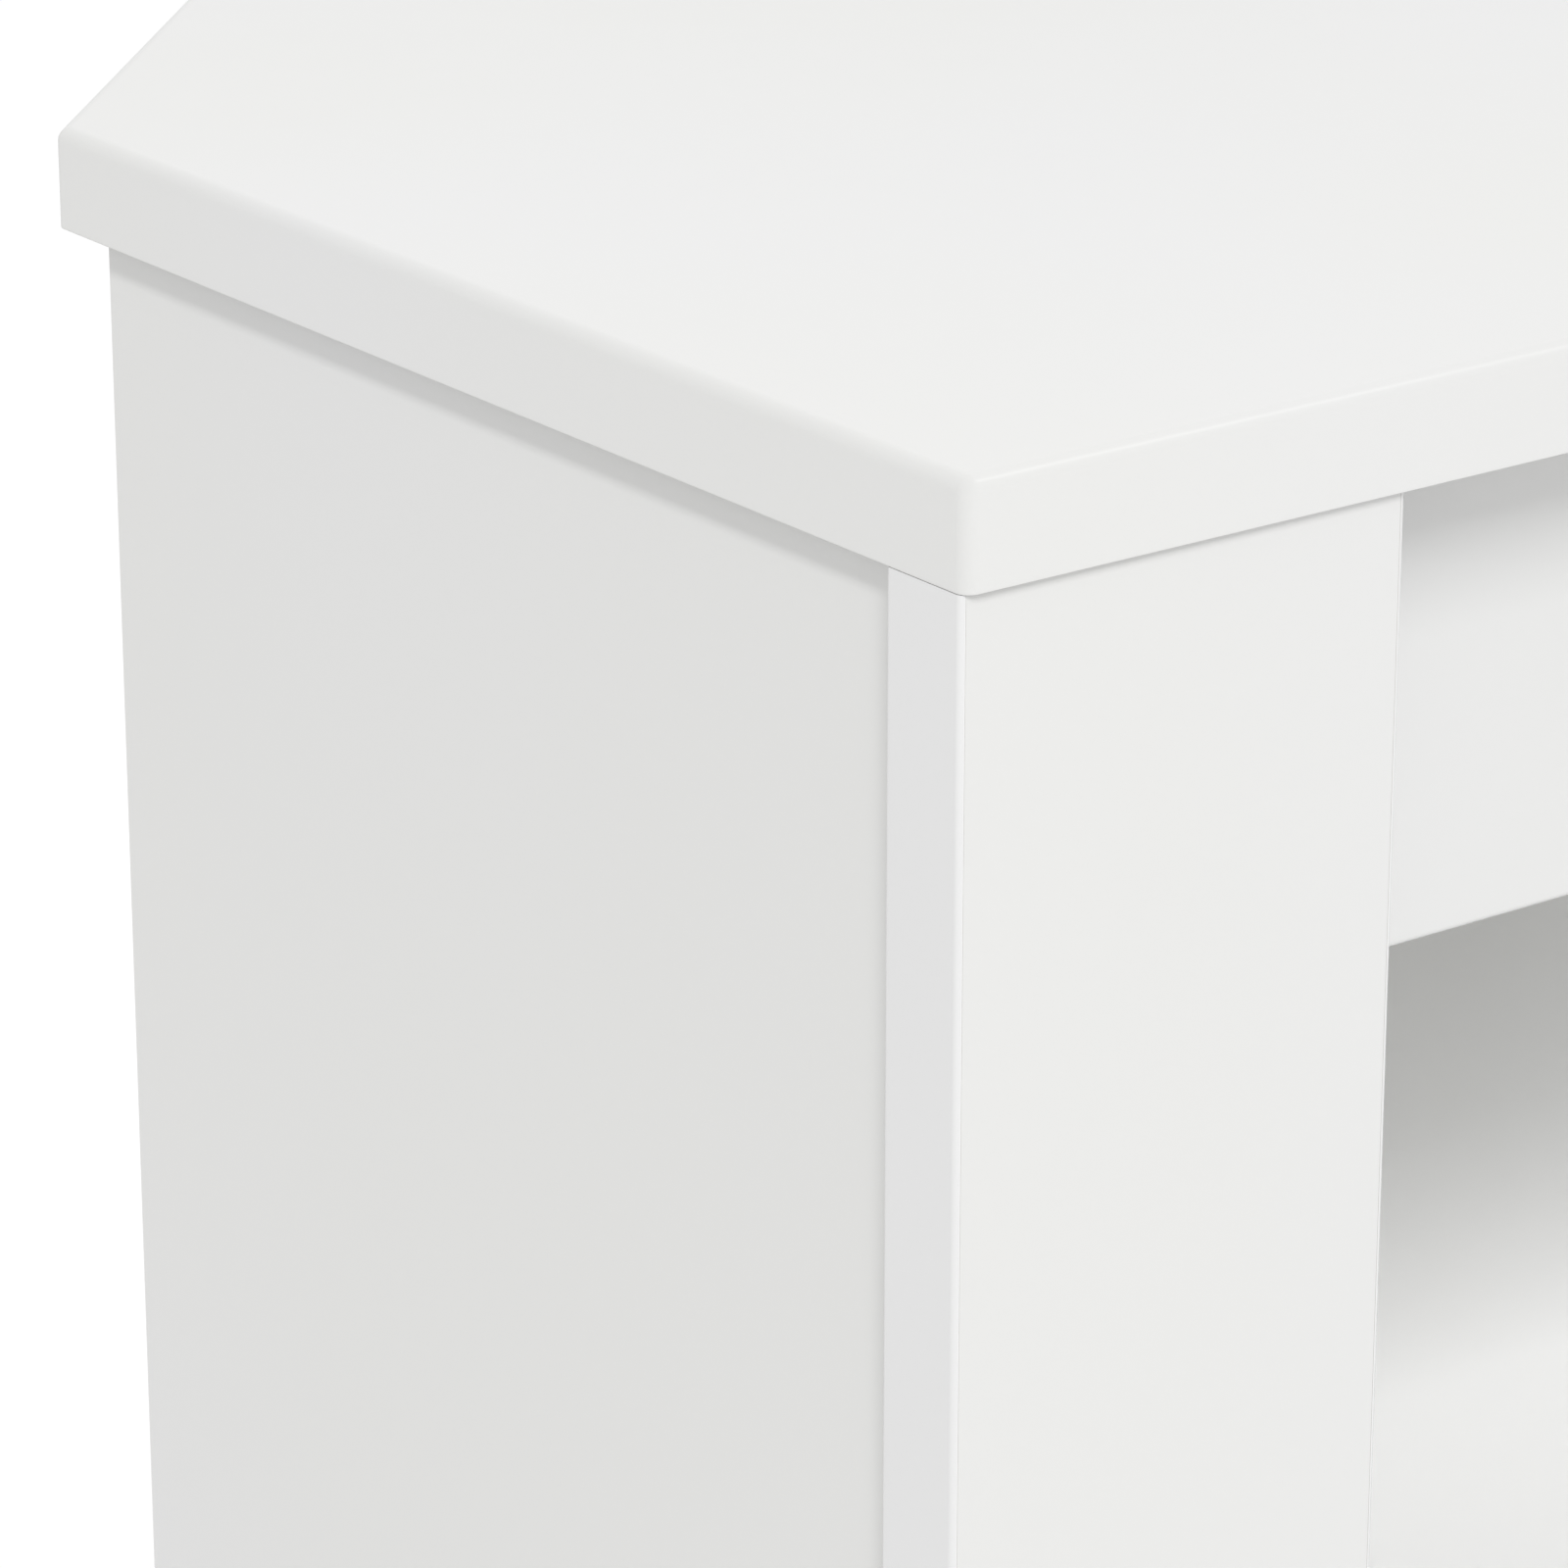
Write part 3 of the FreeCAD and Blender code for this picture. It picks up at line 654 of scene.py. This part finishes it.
# %% A material and its nodes
class Finish:
    """A material with one Principled shader and the nodes that feed it."""

    def __init__(self, name):
        self.material = bpy.data.materials.new(name)
        self.material.use_nodes = True
        self.tree = self.material.node_tree
        self.shader = self.tree.nodes["Principled BSDF"]
        self.coordinates = self.node("ShaderNodeTexCoord", output="Object")

    def node(self, kind, settings=None, inputs=None, output=0):
        """Adds a node, applies its settings, then fills its sockets with values or links."""
        made = self.tree.nodes.new(kind)
        for key, setting in (settings or {}).items():
            setattr(made, key, setting)
        for key, given in (inputs or {}).items():
            self.feed(made.inputs[key], given)
        return Value(self, made.outputs[output])

    def feed(self, socket, given):
        """Links a value to a socket, or sets a plain number or colour on it."""
        if isinstance(given, Value):
            self.tree.links.new(given.socket, socket)
        else:
            socket.default_value = given

    def stretched(self, scale):
        """Object coordinates multiplied by a scale for each axis."""
        inputs = {"Vector": self.coordinates, "Scale": scale}
        return self.node("ShaderNodeMapping", {"vector_type": "POINT"}, inputs)

    def noise(self, scale, detail=2.0, stretch=(1, 1, 1), roughness=0.5):
        """Soft noise from 0 to 1, with about scale features to the metre."""
        inputs = {
            "Vector": self.stretched(stretch),
            "Scale": scale,
            "Detail": detail,
            "Roughness": roughness,
        }
        return self.node("ShaderNodeTexNoise", None, inputs)

    def blend(self, share, first, second):
        """Colour mix: first where share is 0, second where it is 1."""
        mix = {"data_type": "RGBA", "clamp_factor": True}
        inputs = {"Factor": share, 6: first, 7: second}
        return self.node("ShaderNodeMix", mix, inputs, output=2)

    def bump(self, height, depth):
        """Normal of a surface raised by height, from 0 to 1, times depth in metres."""
        inputs = {"Height": height, "Distance": depth, "Strength": 1.0}
        return self.node("ShaderNodeBump", None, inputs)

    def part(self, vector, axis):
        """One component of a vector."""
        return self.node("ShaderNodeSeparateXYZ", None, {0: vector}, output=axis)

    def surface(self, **inputs):
        """Feeds the shader, with an underscore for each space in a socket's name."""
        for key, given in inputs.items():
            self.feed(self.shader.inputs[key.replace("_", " ")], given)
        print(f"{self.material.name}: {len(self.tree.nodes)} nodes")
        return self.material


# %% [markdown]
# ## White foil
#
# The boards are wrapped in a matt-satin white foil. It has almost no pattern, and that is the
# difficulty: a single flat colour looks like plaster. Three faint things bring it to life. The
# white drifts between a warm and a cool tone over a hand's width. The gloss varies, because the
# foil follows the chips below it. And a fine orange peel, about half a millimetre wide and a few
# thousandths deep, breaks up reflections. Each rounded arris is also painted a little darker, as
# painted shade, so that it shades off evenly between its two faces.

# %% Tones of white
BLACK = (0, 0, 0, 1)
ARRIS_PAINTED_SHADE = 0.22  # painted shade on an arris, per unit of rounding


def white(level, warmth):
    """A near white. Warmth takes a little blue away."""
    return (level, level, level * (1 - warmth), 1)


def rounding(finish):
    """0 on a side, front or upper face, and up to 0.4 where one of them bends into another.

    It is the sum of the normal's components to the side, front and top, minus one."""
    normal = finish.node("ShaderNodeNewGeometry", output="Normal")
    side = finish.part(normal, "X").size()
    front = (0.0 - finish.part(normal, "Y")).at_least(0.0)
    upper = finish.part(normal, "Z").at_least(0.0)
    return (side + front + upper - 1.0).at_least(0.0)


print(f"a warm white: {np.round(white(0.84, 0.018), 3)}")

# %% [markdown]
# Two places are not white. The lower ends of the uprights, which nobody sees, are sawn and left
# raw, so there the chips of the board show. The underside of the top is white where it is the
# ceiling of the open compartment, but its rim, which stands out past the other boards, is painted
# grey as painted shade: it sends less light back, which deepens the shadows right below the top.
# Both places can be told from the object's own coordinates and from the way the surface faces.

# %% Sawn ends, and the rim painted grey as shade
RAW_CHIP_LIGHT = (0.56, 0.43, 0.29, 1)
RAW_CHIP_DARK = (0.33, 0.23, 0.14, 1)
RAW_BELOW = 4.5 * MM  # a downward face lower than this is a sawn end
CHIP_SCALE = 600.0  # chips to the metre
CHIP_CONTRAST = 1.2
# grey of the top's underside rim, painted shade that deepens the shadows below the top
RIM_SHADE_GREY = (0.5, 0.5, 0.49, 1)
DOWNWARD = -0.5  # a face looks down if the upward part of its direction is below this


def facing(finish, axis):
    """Component of the surface's own outward direction."""
    return finish.part(finish.node("ShaderNodeNewGeometry", output="True Normal"), axis)


def sawn_ends(finish):
    """Where a board ends in raw chips, and their colour."""
    low_down = finish.part(finish.coordinates, "Z").below(RAW_BELOW)
    sawn = low_down * facing(finish, "Z").below(DOWNWARD)
    cells = {"Vector": finish.coordinates, "Scale": CHIP_SCALE}
    chips = finish.node("ShaderNodeTexVoronoi", None, cells)
    return sawn, finish.blend(chips * CHIP_CONTRAST, RAW_CHIP_LIGHT, RAW_CHIP_DARK)


def shade_deepening_rim(finish):
    """Where the underside stands out past the other boards, and the grey painted there as painted
    shade.
    """
    across, depth = (finish.part(finish.coordinates, axis) for axis in "XY")
    ceiling = across.size().below(panel_inner) * depth.above(apron_back)
    return facing(finish, "Z").below(DOWNWARD) * (1.0 - ceiling), RIM_SHADE_GREY


panel_inner = box_of("right_side_panel")[0][X]
apron_back = box_of("apron")[1][Y]
print(f"white ceiling within x = {panel_inner:.4f} and behind y = {apron_back:.4f}")

# %% Foil-faced board
DRIFT_SCALE, SWELL_SCALE, PEEL_SCALE = 7.0, 90.0, 1500.0  # features to the metre
DRIFT_STRETCH = (1, 1, 0.35)  # the drift runs up the boards
DRIFT_MIDDLE, DRIFT_CONTRAST = 0.35, 3.0
PEEL_SHARE = 0.5  # of the orange peel beside the swell
PEEL_DEPTH = 6 * MICRON
GLOSS_SWING = 0.06
BARE_ROUGHER = 0.4  # the grey rim and the chips are this much rougher than foil
COOL_LIFT, COOL_WARMTH = 1.006, 0.002  # the cool tone beside the warm one
FOIL_IOR = 1.5  # refraction of the foil, and of the bands too


def foil(name, level, roughness, warmth, bare):
    """White foil, but for the places that bare names."""
    finish = Finish(name)
    drift = finish.noise(DRIFT_SCALE, 1.0, stretch=DRIFT_STRETCH)
    peel = finish.noise(PEEL_SCALE)
    swell = finish.noise(SWELL_SCALE)
    warm, cool = white(level, warmth), white(level * COOL_LIFT, COOL_WARMTH)
    colour = finish.blend((drift - DRIFT_MIDDLE) * DRIFT_CONTRAST, warm, cool)
    # painted shade: each arris is darkened in proportion to its rounding
    colour = finish.blend(ARRIS_PAINTED_SHADE * rounding(finish), colour, BLACK)
    place, bare_colour = bare(finish)
    return finish.surface(
        Base_Color=finish.blend(place, colour, bare_colour),
        Roughness=roughness + GLOSS_SWING * (swell - 0.5) + BARE_ROUGHER * place,
        Normal=finish.bump(peel * PEEL_SHARE + swell, PEEL_DEPTH),
        IOR=FOIL_IOR,
    )


top_foil = foil("white_foil_top", 0.845, 0.34, 0.018, shade_deepening_rim)
board_foil = foil("white_foil_board", 0.84, 0.38, 0.018, sawn_ends)
shelf_foil = foil("white_foil_shelf", 0.86, 0.36, 0.006, sawn_ends)

# %% [markdown]
# ## Edge band plastic
#
# The bands are the same white in a harder and glossier plastic. The trimming cutter and the scraper
# after it leave very fine lines along the strip, so the bump is a noise that is stretched far along
# the band's length. Their rounded arrises are painted a little darker than the flats, as painted
# shade. On a stile two details are added to the plain plastic: a painted highlight whitens a
# hairline beside the joint, and the glue in the groove is grey, a grey that also stands in for
# shade in the groove. A detail is a function that takes a colour and gives back a changed one, so
# that each band gets the details it needs.

# %% Plastic of the edge bands
BAND_PAINTED_SHADE = 0.14  # painted shade on an arris, per unit of rounding
LINE_SCALE, PATCH_SCALE = 1500.0, 25.0  # features to the metre
LINE_DEPTH = 0.3 * MICRON
LINE_STRETCH = 0.02  # a line is fifty times as long as it is wide
BAND_DULL, BAND_BRIGHT = white(0.855, 0.002), white(0.865, 0.0)
BAND_ROUGHNESS, LINES_ROUGHER = 0.24, 0.03


def band_plastic(name, along, *details):
    """Plastic with fine lines along an axis, and with details laid over its colour."""
    finish = Finish(name)
    stretch = [1.0, 1.0, 1.0]
    stretch[along] = LINE_STRETCH
    lines = finish.noise(LINE_SCALE, 1.0, stretch=stretch)
    patches = finish.noise(PATCH_SCALE, 1.0)
    colour = finish.blend(patches, BAND_DULL, BAND_BRIGHT)
    # painted shade: each arris of a band is darkened in proportion to its rounding
    colour = finish.blend(BAND_PAINTED_SHADE * rounding(finish), colour, BLACK)
    for detail in details:
        colour = detail(finish, colour)
    return finish.surface(
        Base_Color=colour,
        Roughness=BAND_ROUGHNESS + LINES_ROUGHER * lines,
        Normal=finish.bump(lines, LINE_DEPTH),
        IOR=FOIL_IOR,
    )


band_upright = band_plastic("edge_band_upright", Z)
band_level = band_plastic("edge_band_level", X)

# %% Details of the stiles' bands
# the white of the painted highlight beside a stile's joint
HIGHLIGHT_WHITE = white(0.92, 0.0)
HIGHLIGHT_FROM_OUTER = 0.985  # plastic that faces forward by more than this gets the painted highlight
HIGHLIGHT_FROM_INNER = 0.8  # the painted highlight is wider on the inner arris
# grey of the glue, also painted shade in the groove beside a stile's band
GLUE_AND_SEAM_SHADE = (0.68, 0.67, 0.65, 1)
GLUE_FILM = 0.01 * MM  # how far the glue reaches past the board


def painted_highlight(least):
    """Detail that paints a highlight: it whitens the part of an upright band's arris that faces
    nearly forward.
    """

    def detail(finish, colour):
        """White where minus the y of the outward direction is above the least."""
        forward = 0.0 - facing(finish, "Y")
        return finish.blend(forward.above(least), colour, HIGHLIGHT_WHITE)

    return detail


def glue_and_seam_shade(finish, colour):
    """Gives the grey of glue, which also stands in for shade in the groove, to what lies within the
    width of the stile's board.
    """
    low, high = box_of("right_stile")
    middle, reach = (low[X] + high[X]) / 2, (high[X] - low[X]) / 2 + GLUE_FILM
    from_middle = (finish.part(finish.coordinates, "X").size() - middle).size()
    return finish.blend(from_middle.below(reach), colour, GLUE_AND_SEAM_SHADE)


band_stile_outer = band_plastic("edge_band_stile_outer", Z, painted_highlight(HIGHLIGHT_FROM_OUTER), glue_and_seam_shade)
band_stile_inner = band_plastic("edge_band_stile_inner", Z, painted_highlight(HIGHLIGHT_FROM_INNER), glue_and_seam_shade)

# %% [markdown]
# ## Back board
#
# The back is a thin fibreboard with one painted side. The painted side looks into the
# compartments. The other one shows the pressed brown fibres, with the fine print of the wire
# screen that it was pressed on. Which side a point is on follows from the way it faces.

# %% Fibreboard
FIBRE_DARK, FIBRE_LIGHT = (0.36, 0.25, 0.15, 1), (0.5, 0.37, 0.25, 1)
FIBRE_SCALE, CLOUD_SCALE = 260.0, 12.0  # features to the metre
FIBRE_STRETCH = (1, 1, 0.45)
FIBRE_SHARE, SCREEN_SHARE = 0.65, 0.6  # of the fibres in the colour, of the print in the bump
SCREEN_SWAY = 0.4
FIBRE_DEPTH = 30 * MICRON
PAINT_DEPTH = 0.1  # share of the bump that is left under the paint
PAINT_ROUGHNESS, FIBRE_ROUGHER = 0.45, 0.35
FIBREBOARD_IOR = 1.48
BACKWARD = 0.5  # a face looks back if the backward part of its direction is above this


def fibreboard(name):
    """Brown pressed fibres on the side that faces back, white paint on the other."""
    finish = Finish(name)
    fibres = finish.noise(FIBRE_SCALE, 6.0, stretch=FIBRE_STRETCH, roughness=0.7)
    clouds = finish.noise(CLOUD_SCALE, 3.0)
    screen = finish.node(
        "ShaderNodeTexWave",
        {"wave_type": "BANDS", "bands_direction": "DIAGONAL"},
        {"Vector": finish.stretched((1, 0, 1)), "Scale": FIBRE_SCALE, "Distortion": SCREEN_SWAY},
        output="Fac",
    )
    mottle = FIBRE_SHARE * fibres + (1 - FIBRE_SHARE) * clouds
    raw = finish.blend(mottle, FIBRE_DARK, FIBRE_LIGHT)
    rear = facing(finish, "Y").above(BACKWARD)
    return finish.surface(
        Base_Color=finish.blend(rear, white(0.84, 0.006), raw),
        Roughness=PAINT_ROUGHNESS + FIBRE_ROUGHER * rear,
        Normal=finish.bump((screen * SCREEN_SHARE + fibres) * (PAINT_DEPTH + rear), FIBRE_DEPTH),
        IOR=FIBREBOARD_IOR,
    )


back_fibre = fibreboard("back_fibreboard")

# %% [markdown]
# ## Metals, beech and small plastics
#
# The cams are die-cast zinc, dull and slightly cloudy. Pins and nails are bright steel with a
# thin plating. Caps and glides are moulded plastic with a fine even texture.

# %% Metal and moulded plastic
METAL_CLOUDS, METAL_SPECKS = 400.0, 2200.0  # features to the metre
PLASTIC_GRAINS, PLASTIC_FLOWS = 3000.0, 120.0
SPECKS_ROUGHER, GRAINS_ROUGHER = 0.15, 0.08
METAL_DEPTH, PLASTIC_DEPTH = 8 * MICRON, 6 * MICRON  # of the texture
PLASTIC_IOR = 1.49


def metal(name, level, roughness, cloud):
    """Grey metal with darker clouds of the given strength."""
    finish = Finish(name)
    clouds = finish.noise(METAL_CLOUDS, 3.0)
    specks = finish.noise(METAL_SPECKS)
    bright = (level, level, level * 1.01, 1)
    dark = (level * 0.8, level * 0.8, level * 0.82, 1)
    return finish.surface(
        Base_Color=finish.blend(clouds * cloud, bright, dark),
        Metallic=1.0,
        Roughness=roughness + SPECKS_ROUGHER * specks,
        Normal=finish.bump(specks, METAL_DEPTH),
    )


def moulded(name, level, roughness):
    """White plastic with a fine grain and a slow change of tone from the way it flowed."""
    finish = Finish(name)
    grain = finish.noise(PLASTIC_GRAINS)
    flow = finish.noise(PLASTIC_FLOWS, 1.0)
    return finish.surface(
        Base_Color=finish.blend(flow, white(level, 0.01), white(level * 0.985, 0.02)),
        Roughness=roughness + GRAINS_ROUGHER * grain,
        Normal=finish.bump(grain, PLASTIC_DEPTH),
        IOR=PLASTIC_IOR,
    )


cast_zinc = metal("cast_zinc", 0.55, 0.38, 0.9)
plated_steel = metal("plated_steel", 0.72, 0.2, 0.5)
cap_plastic = moulded("cap_plastic", 0.84, 0.36)
glide_plastic = moulded("glide_plastic", 0.78, 0.42)

# %% [markdown]
# Dowels are beech, whose grain runs along them in short dark flecks. A threshold turns a noise
# into flecks: only its peaks are kept.

# %% Beech
BEECH_LIGHT, BEECH_DARK = (0.62, 0.43, 0.27, 1), (0.48, 0.31, 0.18, 1)
FLECK = (0.32, 0.19, 0.1, 1)
FLECK_ABOVE, FLECK_STRENGTH = 0.62, 0.5
BEECH_GRAINS, BEECH_FLECKS = 900.0, 2500.0  # to the metre, across the grain
GRAIN_STRETCH, FLECK_STRETCH = (1, 1, 0.08), (1, 1, 0.2)
BEECH_ROUGHNESS, BEECH_ROUGHER = 0.6, 0.15
BEECH_DEPTH = 20 * MICRON


def beech_wood(name):
    """Fine grain with darker flecks."""
    finish = Finish(name)
    grain = finish.noise(BEECH_GRAINS, 4.0, stretch=GRAIN_STRETCH)
    flecks = finish.noise(BEECH_FLECKS, stretch=FLECK_STRETCH).above(FLECK_ABOVE)
    colour = finish.blend(grain, BEECH_LIGHT, BEECH_DARK)
    return finish.surface(
        Base_Color=finish.blend(flecks * FLECK_STRENGTH, colour, FLECK),
        Roughness=BEECH_ROUGHNESS + BEECH_ROUGHER * grain,
        Normal=finish.bump(grain, BEECH_DEPTH),
    )


beech = beech_wood("beech")

# %% [markdown]
# ## Dress every piece
#
# The new pieces and the solids of the frame each get their finish. A solid of the frame already
# has a material slot, and only what is in it changes.


# %% Hand out the materials
def dress(thing, material):
    """Puts a material in every slot of an object, or in a new one if it has none."""
    if not thing.material_slots:
        thing.data.materials.append(material)
    for place in thing.material_slots:
        place.material = material


fittings = {
    "cam_bolts": plated_steel,
    "wooden_dowels": beech,
    "cam_locks": cast_zinc,
    "shelf_pins": plated_steel,
    "back_nails": plated_steel,
    "cam_caps": cap_plastic,
    "floor_glides": glide_plastic,
}
inner_boards = ("shelf", "partition", "rear_rail")
for name, node in nodes.items():
    board = shelf_foil if name.endswith(inner_boards) else board_foil
    dress(node, fittings.get(name, band_upright if name.endswith("_band") else board))
dress(nodes["back_board"], back_fibre)
dress(nodes["top_slab"], top_foil)
print(f"{len(nodes)} solids dressed")

# %% Dress the new pieces
new_pieces = {
    top_board: top_foil,
    cover_caps: cap_plastic,
    floor_glides: glide_plastic,
    shelf_pins: plated_steel,
    panel_nails: plated_steel,
    cam_group: cast_zinc,
}
band_of = {"outer": band_stile_outer, "inner": band_stile_inner, "shelf": band_level}
for strip in strips:
    kinds = [kind for kind in band_of if kind in strip.name]
    new_pieces[strip] = band_of[kinds[0]] if kinds else band_upright
for thing, material in new_pieces.items():
    dress(thing, material)
print(f"{len(new_pieces)} new pieces dressed")

# %% [markdown]
# ## Floor and surroundings
#
# The table stands on a wide pale floor in an even white room. The room is a little dimmer for
# the light that falls on the table than for the camera and for reflections, which is what the
# Light Path node tells apart. The floor adds some white of its own in the same way, so that it
# reads as white and still keeps the table's shadow.


# %% Floor
FLOOR_REACH = 40.0

floor_corners = FLOOR_REACH * np.array([(-1, -1, 0), (1, -1, 0), (1, 1, 0), (-1, 1, 0)])
floor_mesh = bpy.data.meshes.new("floor")
floor_mesh.from_pydata(floor_corners.tolist(), [], [(0, 1, 2, 3)])
floor = bpy.data.objects.new("floor", floor_mesh)
bpy.context.scene.collection.objects.link(floor)
print(f"floor: {2 * FLOOR_REACH:.0f} m square")

# %% Paint of the floor
FLOOR_LEVEL = 0.72
FLOOR_ROUGHNESS = 0.8
FLOOR_GLOW = 0.5  # seen by the camera and in reflections only
WHITE = (1, 1, 1, 1)


def seen_directly(tree):
    """Socket that is 1 for rays from the camera, from gloss and through glass."""
    path = tree.nodes.new("ShaderNodeLightPath")
    total = path.outputs["Is Camera Ray"]
    for ray in ("Is Glossy Ray", "Is Transmission Ray"):
        more = tree.nodes.new("ShaderNodeMath")
        more.operation = "MAXIMUM"
        tree.links.new(total, more.inputs[0])
        tree.links.new(path.outputs[ray], more.inputs[1])
        total = more.outputs[0]
    return total


paint = Finish("studio_floor")
seen = Value(paint, seen_directly(paint.tree))
floor_paint = paint.surface(
    Base_Color=(FLOOR_LEVEL, FLOOR_LEVEL, FLOOR_LEVEL, 1),
    Roughness=FLOOR_ROUGHNESS,
    Specular_IOR_Level=0.0,
    Emission_Color=paint.blend(seen, BLACK, WHITE),
    Emission_Strength=FLOOR_GLOW,
)
dress(floor, floor_paint)

# %% White room
ROOM_LIGHT = 0.6  # the room as it lights the table
ROOM_SEEN = 1.0  # the room as the camera and reflections show it

world = bpy.data.worlds.new("studio")
bpy.context.scene.world = world
world.use_nodes = True
room = world.node_tree
background = room.nodes["Background"]
background.inputs["Color"].default_value = WHITE
strength = room.nodes.new("ShaderNodeMapRange")
strength.inputs["To Min"].default_value = ROOM_LIGHT
strength.inputs["To Max"].default_value = ROOM_SEEN
room.links.new(seen_directly(room), strength.inputs["Value"])
room.links.new(strength.outputs[0], background.inputs["Strength"])
print(f"room: strength {ROOM_LIGHT} as light, {ROOM_SEEN} as seen")

# %% [markdown]
# ## Studio lights
#
# Most of the light is the even white of the room. One long narrow panel hangs overhead in
# front, to the left, and runs from front to back. It is what draws the shadows: below the side
# of the top they end within a few millimetres, because the panel is narrow, and down the apron
# they run out softly, because it is long. A short dim panel continues its line further back. It
# lights the top and the side, but the front turns away from it. Both are kept out of
# reflections, because in satin foil they would show as a glaring streak. A small lamp to the
# right does the opposite: it is seen in reflections only, and adds a thin light line on the
# front arris.
#
# A panel's power follows from how bright a white surface that faces it should look: power =
# pi squared x distance squared x level, over the cosine of the angle at which the panel sends
# its light to the spot. This holds while the panel is small beside its distance.


# %% Long overhead panel
PANEL_WIDTH = 0.68  # the narrower, the harder the shadow on the side
PANELS = {  # offset from the corner of the top, length and level
    "strip": ((-2.2, -4.3, 4.5), 3.4, 0.487),
    "rear_strip": ((-2.2, 0.8, 4.5), 1.0, 0.05),
}

corner_of_top = np.array([top_low[X], top_low[Y], top_high[Z]])


def hanging_panel(name, spot, offset, width, length, level):
    """Level rectangular light that shines down on a spot from an offset, kept out of view."""
    distance = np.linalg.norm(offset)
    lamp = bpy.data.lights.new(name, "AREA")
    lamp.shape = "RECTANGLE"
    lamp.size = width
    lamp.size_y = length
    lamp.energy = math.pi**2 * distance**2 * level * distance / offset[Z]
    light = bpy.data.objects.new(name, lamp)
    bpy.context.scene.collection.objects.link(light)
    light.location = spot + offset
    light.visible_camera = False
    print(f"{name}: {lamp.energy:.2f} W at {np.round(light.location, 2)}")
    return light


for name, (offset, length, level) in PANELS.items():
    panel = hanging_panel(name, corner_of_top, np.array(offset), PANEL_WIDTH, length, level)
    panel.visible_glossy = False

# %% Glint
GLINT_OFFSET = np.array([3.0, -1.5, 3.7])
GLINT_SIZE, GLINT_LEVEL = (0.25, 0.3), 0.06

glint = hanging_panel("glint", corner_of_top, GLINT_OFFSET, *GLINT_SIZE, GLINT_LEVEL)
glint.visible_diffuse = False

# %% [markdown]
# The open compartment would sink into darkness under these lights. A low panel, nearly as wide
# as the shelf, hangs behind the apron, where no camera above the shelf sees it. Its spot is the
# shelf right below it. It is long and close, so the rule for the power is far off, and its
# level was found by trying.

# %% Light in the compartment
LAMP_DROP = 72 * MM  # below the underside of the top
LAMP_SETBACK = 78 * MM  # behind the front edge of the shelf
LAMP_DEPTH = 50 * MM
LAMP_SPAN = 0.96  # share of the shelf's width
LAMP_LEVEL = 1.34

shelf_low, shelf_high = box_of("fixed_shelf")
shelf_spot = np.array([0, shelf_low[Y] + LAMP_SETBACK, shelf_high[Z]])
compartment_light = hanging_panel(
    "compartment_light",
    shelf_spot,
    np.array([0, 0, top_low[Z] - shelf_high[Z] - LAMP_DROP]),
    width=(shelf_high[X] - shelf_low[X]) * LAMP_SPAN,
    length=LAMP_DEPTH,
    level=LAMP_LEVEL,
)
compartment_light.visible_glossy = False

# %% [markdown]
# ## Camera
#
# The camera looks down on the left front corner of the table from a metre away, through a long
# lens, so that the corner fills the view. Light in a white compartment bounces many times
# before it comes out, so more bounces are followed than usual.

# %% Camera
CAMERA_OFFSET = np.array([-0.5909, -0.7467, 0.2985])  # from the top's left front corner
CAMERA_AZIMUTH = -36.76  # turned to look to the right of straight back
CAMERA_PITCH = 19.944  # looking down
LENS = 157.5  # millimetres
SENSOR = 36  # millimetres wide
NEAREST, FARTHEST = 0.05, 200  # what the camera shows, in metres
BOUNCES = 16

lens = bpy.data.cameras.new("camera")
lens.lens = LENS
lens.sensor_width = SENSOR
lens.clip_start = NEAREST
lens.clip_end = FARTHEST
camera = bpy.data.objects.new("camera", lens)
bpy.context.scene.collection.objects.link(camera)
camera.location = corner_of_top + CAMERA_OFFSET
camera.rotation_euler = (math.radians(90 - CAMERA_PITCH), 0, math.radians(CAMERA_AZIMUTH))
bpy.context.scene.camera = camera
bpy.context.scene.view_settings.view_transform = "Standard"
bpy.context.scene.cycles.max_bounces = BOUNCES
bpy.context.scene.cycles.diffuse_bounces = BOUNCES
print(f"camera at {np.round(camera.location, 3)}, {np.linalg.norm(CAMERA_OFFSET):.2f} m away")
